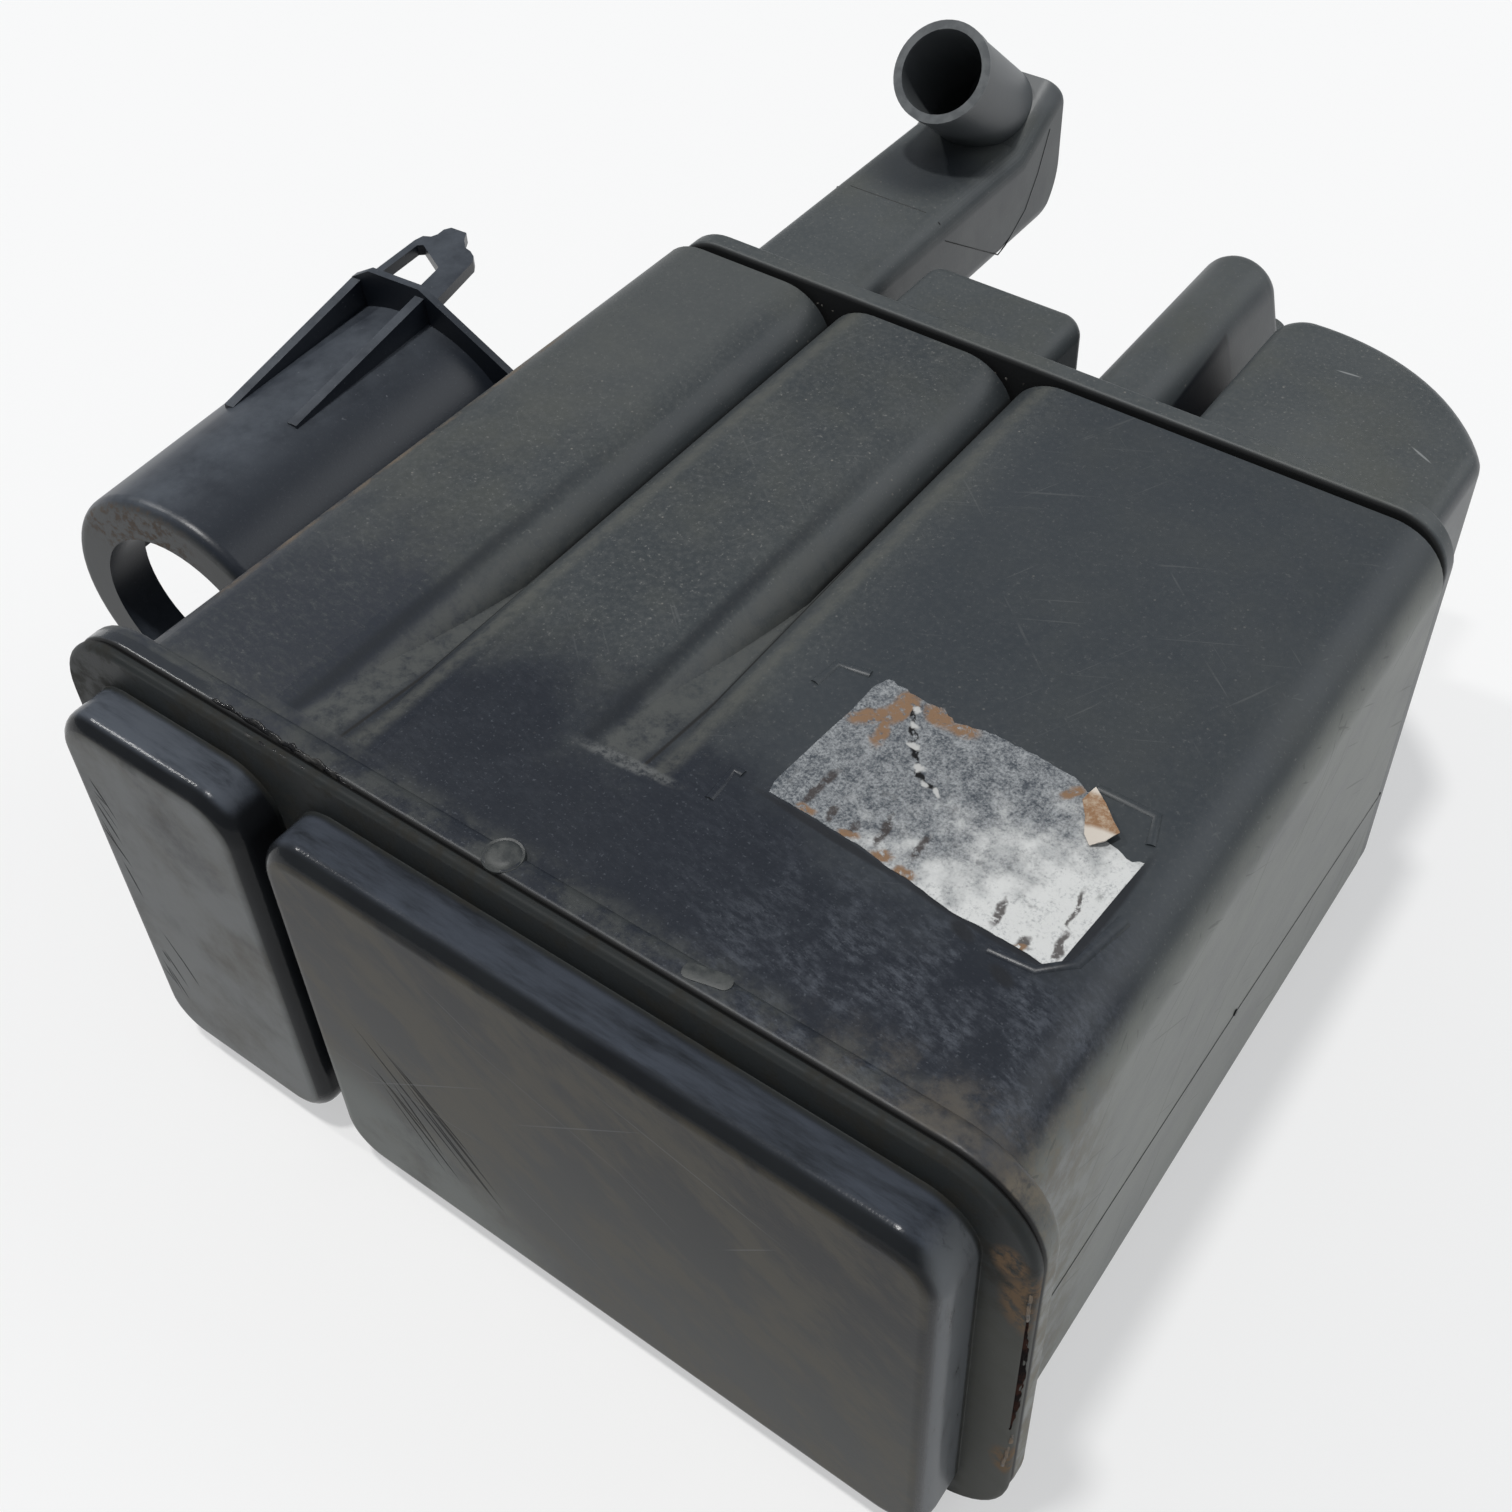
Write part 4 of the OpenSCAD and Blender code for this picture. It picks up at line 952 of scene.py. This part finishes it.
def elbow_lines():
    """Witness lines where the cores of the elbow's mould met."""
    right = ELBOW_X + ELBOW_HALF - 0.06
    left = ELBOW_X - ELBOW_HALF + 0.06
    over = [(left, 72.8, DUCT_TOP - 5.2), (ELBOW_X - 12.8, 72.8, DUCT_TOP - 1.4),
            (ELBOW_X - 9.3, 72.8, DUCT_TOP - 0.06), (ELBOW_X + 9.3, 72.8, DUCT_TOP - 0.06),
            (ELBOW_X + 12.8, 72.8, DUCT_TOP - 1.4), (right, 73.0, DUCT_TOP - 5.2), (right, 96.3, 73.2)]
    bend = ((116.0, 95.0), (112.0, 86.0), (107.4, 79.0), (99.4, 74.0), (96.3, 73.2))
    back = [(right, y, z) for y, z in bend]
    lines = [raised_line("elbow_line", over, 0.16), raised_line("elbow_back_line", back, 0.16)]
    return join(lines, "elbow_lines")


def slot_crumbs():
    """Crumbs of dirt lodged in the weld slot at the port end."""
    crumbs = []
    for _ in range(60):
        crumb = add(bpy.ops.mesh.primitive_ico_sphere_add, "crumb", subdivisions=1,
                    radius=chance.uniform(0.14, 0.32) * MM)
        across = BODY_LEFT + 14 + chance.random() * (BODY_RIGHT - BODY_LEFT - 28)
        at = Vector((across, SLOT_Y - 0.75 + chance.uniform(-0.4, 0.4), LOBE_TOP - 2.9)) * MM
        for vertex in crumb.data.vertices:
            lump = chance.uniform(0.6, 1.3)
            vertex.co = at + vertex.co * lump
        crumbs.append(crumb)
    return join(crumbs, "slot_crumbs")


# Label

def paper_piece(name, points, fields, lift):
    """Paper cut along an outline, divided at the x and y places in fields, lifted and thickened."""
    piece = wire(name, points)
    pick_all(piece)
    bpy.ops.mesh.edge_face_add()
    for axis, places in enumerate(fields):
        for place in places:
            normal = [0, 0, 0]
            normal[axis] = 1
            point = [0, 0, LOBE_TOP * MM]
            point[axis] = place * MM
            bpy.ops.mesh.select_all(action="SELECT")
            bpy.ops.mesh.bisect(plane_co=point, plane_no=normal)
    leave_mesh()
    for vertex in piece.data.vertices:
        vertex.co.z += lift(vertex.co.x / MM, vertex.co.y / MM) * MM
    apply_modifier(piece, "thickness", "SOLIDIFY", thickness=PAPER_THICKNESS * MM, offset=1.0)
    smooth(piece, 40)
    return piece


def sheet_curl(x, y):
    """Lift of the label: most at the torn flap, a little at the far edge, and in slight waves all over."""
    flap = max(0.0, 1.0 - math.hypot(x - 89.0, y + 50.0) / 5.5)
    far = max(0.0, (y + 50.5) / 4.5) * max(0.0, 1.0 - abs(x - 60) / 13)
    wave = 0.05 * (1 + math.sin(x * 0.9 + y * 0.5))
    return 1.5 * flap ** 2 + 0.55 * far ** 2 + wave


def label_sheet():
    """Paper label with its torn outline, cut into small fields so that it can curl."""
    outline = [(50.3, -46.0), (53.2, -46.2), (57.3, -46.9), (60.8, -46.6), (63.6, -48.1), (67.4, -47.1),
               (71.7, -46.6), (76.3, -46.8), (84.7, -47.6), (87.0, -49.2), (87.9, -49.0), (89.6, -52.6),
               (92.4, -55.2), (94.6, -55.6), (98.3, -56.6), (99.8, -55.8), (98.4, -77.9), (96.7, -78.9),
               (93.6, -78.5), (87.2, -78.3), (81.6, -78.4), (74.3, -77.1), (70.7, -76.9), (65.4, -75.9),
               (59.9, -75.6), (54.5, -75.2), (48.4, -75.0), (47.9, -72.8), (48.4, -64.4), (49.2, -55.0),
               (49.3, -48.7)]
    base = LOBE_TOP + 0.04
    ragged = []
    for (ax, ay), (bx, by) in zip(outline, outline[1:] + outline[:1]):
        length = math.hypot(bx - ax, by - ay)
        steps = max(1, round(length / 0.9))
        torn = ay > -57.5 and by > -57.5 and ax < 99.0
        for step in range(steps):
            share = step / steps
            jitter = chance.uniform(-0.28, 0.28) if torn else chance.uniform(-0.06, 0.06)
            ragged.append((ax + (bx - ax) * share, ay + (by - ay) * share + (jitter if step else 0.0), base))
    return paper_piece("label_sheet", ragged, (range(49, 99, 2), range(-78, -47, 2)), sheet_curl)


def fold_curl(x, y):
    """Lift of the folded tongue, which arches away from the sheet."""
    along = ((x - 92.0) * 0.75 + (y + 57.6) * 0.66) / 6.0
    return 1.25 * math.sin(math.pi * min(max(along, 0), 1) * 0.85)


def label_fold():
    """Torn tongue of the label, folded back so that its brown underside shows."""
    outline = [(87.2, -51.0), (87.9, -48.4), (90.6, -50.4), (93.2, -52.8), (94.8, -54.0), (93.8, -56.4),
               (92.0, -57.6), (90.4, -56.2), (89.0, -53.4)]
    points = [(x, y, LOBE_TOP + 0.3) for x, y in outline]
    return paper_piece("label_fold", points, (range(88, 95), range(-57, -48)), fold_curl)


# Studio

def studio():
    """Pale floor that looks nearly white and still takes a shadow, under a grey sky with three suns."""
    floor = add(bpy.ops.mesh.primitive_plane_add, "studio_floor", size=20)
    pale = Finish("pale_floor")
    rays = pale.node("LightPath")
    seen = pale.any_of([rays.outputs[kind]
                        for kind in ("Is Camera Ray", "Is Glossy Ray", "Is Transmission Ray")])
    lit = pale.mix(pale.noise(140, 2), (0.962, 0.962, 0.962), (0.974, 0.974, 0.974))
    pale.colour = pale.mix(seen, lit, (0.45, 0.45, 0.45))
    pale.shader.inputs["Emission Color"].default_value = (1, 1, 1, 1)
    pale.feed(pale.times(seen, 0.5), pale.shader.inputs["Emission Strength"])
    pale.rough = pale.blend(pale.noise(60, 2), 0.85, 0.95)
    pale.height = pale.noise(4, 2)
    floor.data.materials.append(pale.done(specular=0.1))
    sky = bpy.data.worlds.new("studio_sky")
    sky.use_nodes = True
    sky.node_tree.nodes["Background"].inputs["Color"].default_value = (0.235, 0.25, 0.27, 1)
    bpy.context.scene.world = sky
    lamps = (("key_lamp", (-0.10, -0.12, 0.98), 1.6, 5, (1.0, 0.99, 0.97)),
             ("side_lamp", (-0.65, -0.07, 0.75), 0.65, 3, (1.0, 0.99, 0.97)),
             ("back_lamp", (0.50, 0.60, 0.58), 0.45, 40, (0.95, 0.98, 1.0)))
    for name, to_lamp, energy, spread, colour in lamps:
        lamp = bpy.data.lights.new(name, "SUN")
        lamp.energy = energy
        lamp.angle = math.radians(spread)
        lamp.color = colour
        holder = bpy.data.objects.new(name, lamp)
        holder.rotation_euler = Vector(to_lamp).to_track_quat("Z", "Y").to_euler()
        bpy.context.scene.collection.objects.link(holder)


def camera():
    """Camera fitted to the photograph."""
    turn, rise, roll = math.radians(PHOTO_TURN), math.radians(PHOTO_RISE), math.radians(PHOTO_ROLL)
    backward = Vector((math.sin(turn) * math.cos(rise), -math.cos(turn) * math.cos(rise), math.sin(rise)))
    level = Vector((math.cos(turn), math.sin(turn), 0))
    upright = level.cross(-backward)
    right = math.cos(roll) * level + math.sin(roll) * upright
    up = math.cos(roll) * upright - math.sin(roll) * level
    pose = Matrix((right, up, backward)).transposed().to_4x4()
    pose.translation = Vector((RIM_X + 134.4, SEAM_Y - 108.15, LOBE_TOP + 210.0)) * MM
    lens = bpy.data.cameras.new("photo_camera")
    lens.sensor_width = SENSOR_WIDTH
    lens.lens = SENSOR_WIDTH * PHOTO_FOCAL / PHOTO_SIZE
    lens.shift_x = (PHOTO_SIZE / 2 - PHOTO_CENTRE[0]) / PHOTO_SIZE
    lens.shift_y = (PHOTO_CENTRE[1] - PHOTO_SIZE / 2) / PHOTO_SIZE
    lens.clip_start = 0.01
    eye = bpy.data.objects.new("photo_camera", lens)
    eye.matrix_world = pose
    bpy.context.scene.collection.objects.link(eye)
    bpy.context.scene.camera = eye
    bpy.context.scene.view_settings.view_transform = "Standard"


# All of it put together

camera()
studio()

housing_nylon = housing_finish()
finish_piece(moulding("housing", "housing_shell", 1.0), housing_nylon, "housing", "housing")
finish_piece(moulding("end_cover", "end_cover_shell", 0.6), cover_finish(), "cover", "end_cover")
finish_piece(moulding("port_cover", "port_cover_shell"), port_finish(), "port", "port_cover")

melt = melt_finish()
finish_piece(weld_bead(), melt, "housing")
torn_strips = (
    ("torn_flash_low", (RIM_RIGHT - 1.3, SEAM_Y - 1.9, 23), (RIM_RIGHT - 0.6, SEAM_Y - 1.2, 36),
     (0.6, -1, 0), 1.7),
    ("torn_flash_high", (RIM_RIGHT - 1.0, SEAM_Y - 1.6, 69), (RIM_RIGHT - 0.9, SEAM_Y - 1.6, 79),
     (0.6, -1, 0), 1.8),
    ("torn_melt_back", (-36.0, SEAM_Y + 0.6, RIM_TOP - 0.7), (-2, SEAM_Y + 0.2, RIM_TOP - 0.7),
     (0, 0.5, 1), 1.8),
    ("torn_melt_front", (-33.0, SEAM_Y - 0.6, RIM_TOP - 0.9), (-4, SEAM_Y - 0.7, RIM_TOP - 0.9),
     (0, -0.8, 0.8), 1.8))
for name, start, end, out, reach in torn_strips:
    finish_piece(torn_strip(name, start, end, out, reach), melt, "housing")
# Dark sheet for the painted shade inside the open stretch of seam
open_seam_shade = torn_strip("open_seam_shade", (RIM_RIGHT - 0.75, SEAM_Y - 2.1, 37),
                       (RIM_RIGHT - 0.75, SEAM_Y - 2.1, 71.5), (0.65, 0.85, 0), 1.2, 0.8)
finish_piece(open_seam_shade, seam_shade_finish(), "cover")

rubbed_mark = mark_finish()
finish_piece(pip(), rubbed_mark, "housing")
finish_piece(raised_bar("rim_bar", (RIM_X + 34.0, SEAM_Y + 2.2), (RIM_X + 41.2, SEAM_Y + 3.9), 2.6, RIM_TOP),
             rubbed_mark, "housing")
finish_piece(label_corners(), housing_nylon, "housing")
witness = line_finish()
finish_piece(parting_line(), witness, "housing")
finish_piece(elbow_lines(), witness, "port")
finish_piece(slot_crumbs(), crumb_finish(), "housing")

finish_piece(label_sheet(), paper_finish(), "label", "label")
finish_piece(label_fold(), fibre_finish(), "label")

inner_finishes = (("carbon_bed", charcoal_finish()), ("port_pad", felt_finish()),
                  ("spring_pad", felt_finish()), ("pressure_plate", plate_finish()),
                  ("spring_", wire_finish()))
for node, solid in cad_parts.items():
    for start, finish in inner_finishes:
        if node.startswith(start) and not (start == "spring_" and "pad" in node):
            solid.data.materials.clear()
            solid.data.materials.append(finish)
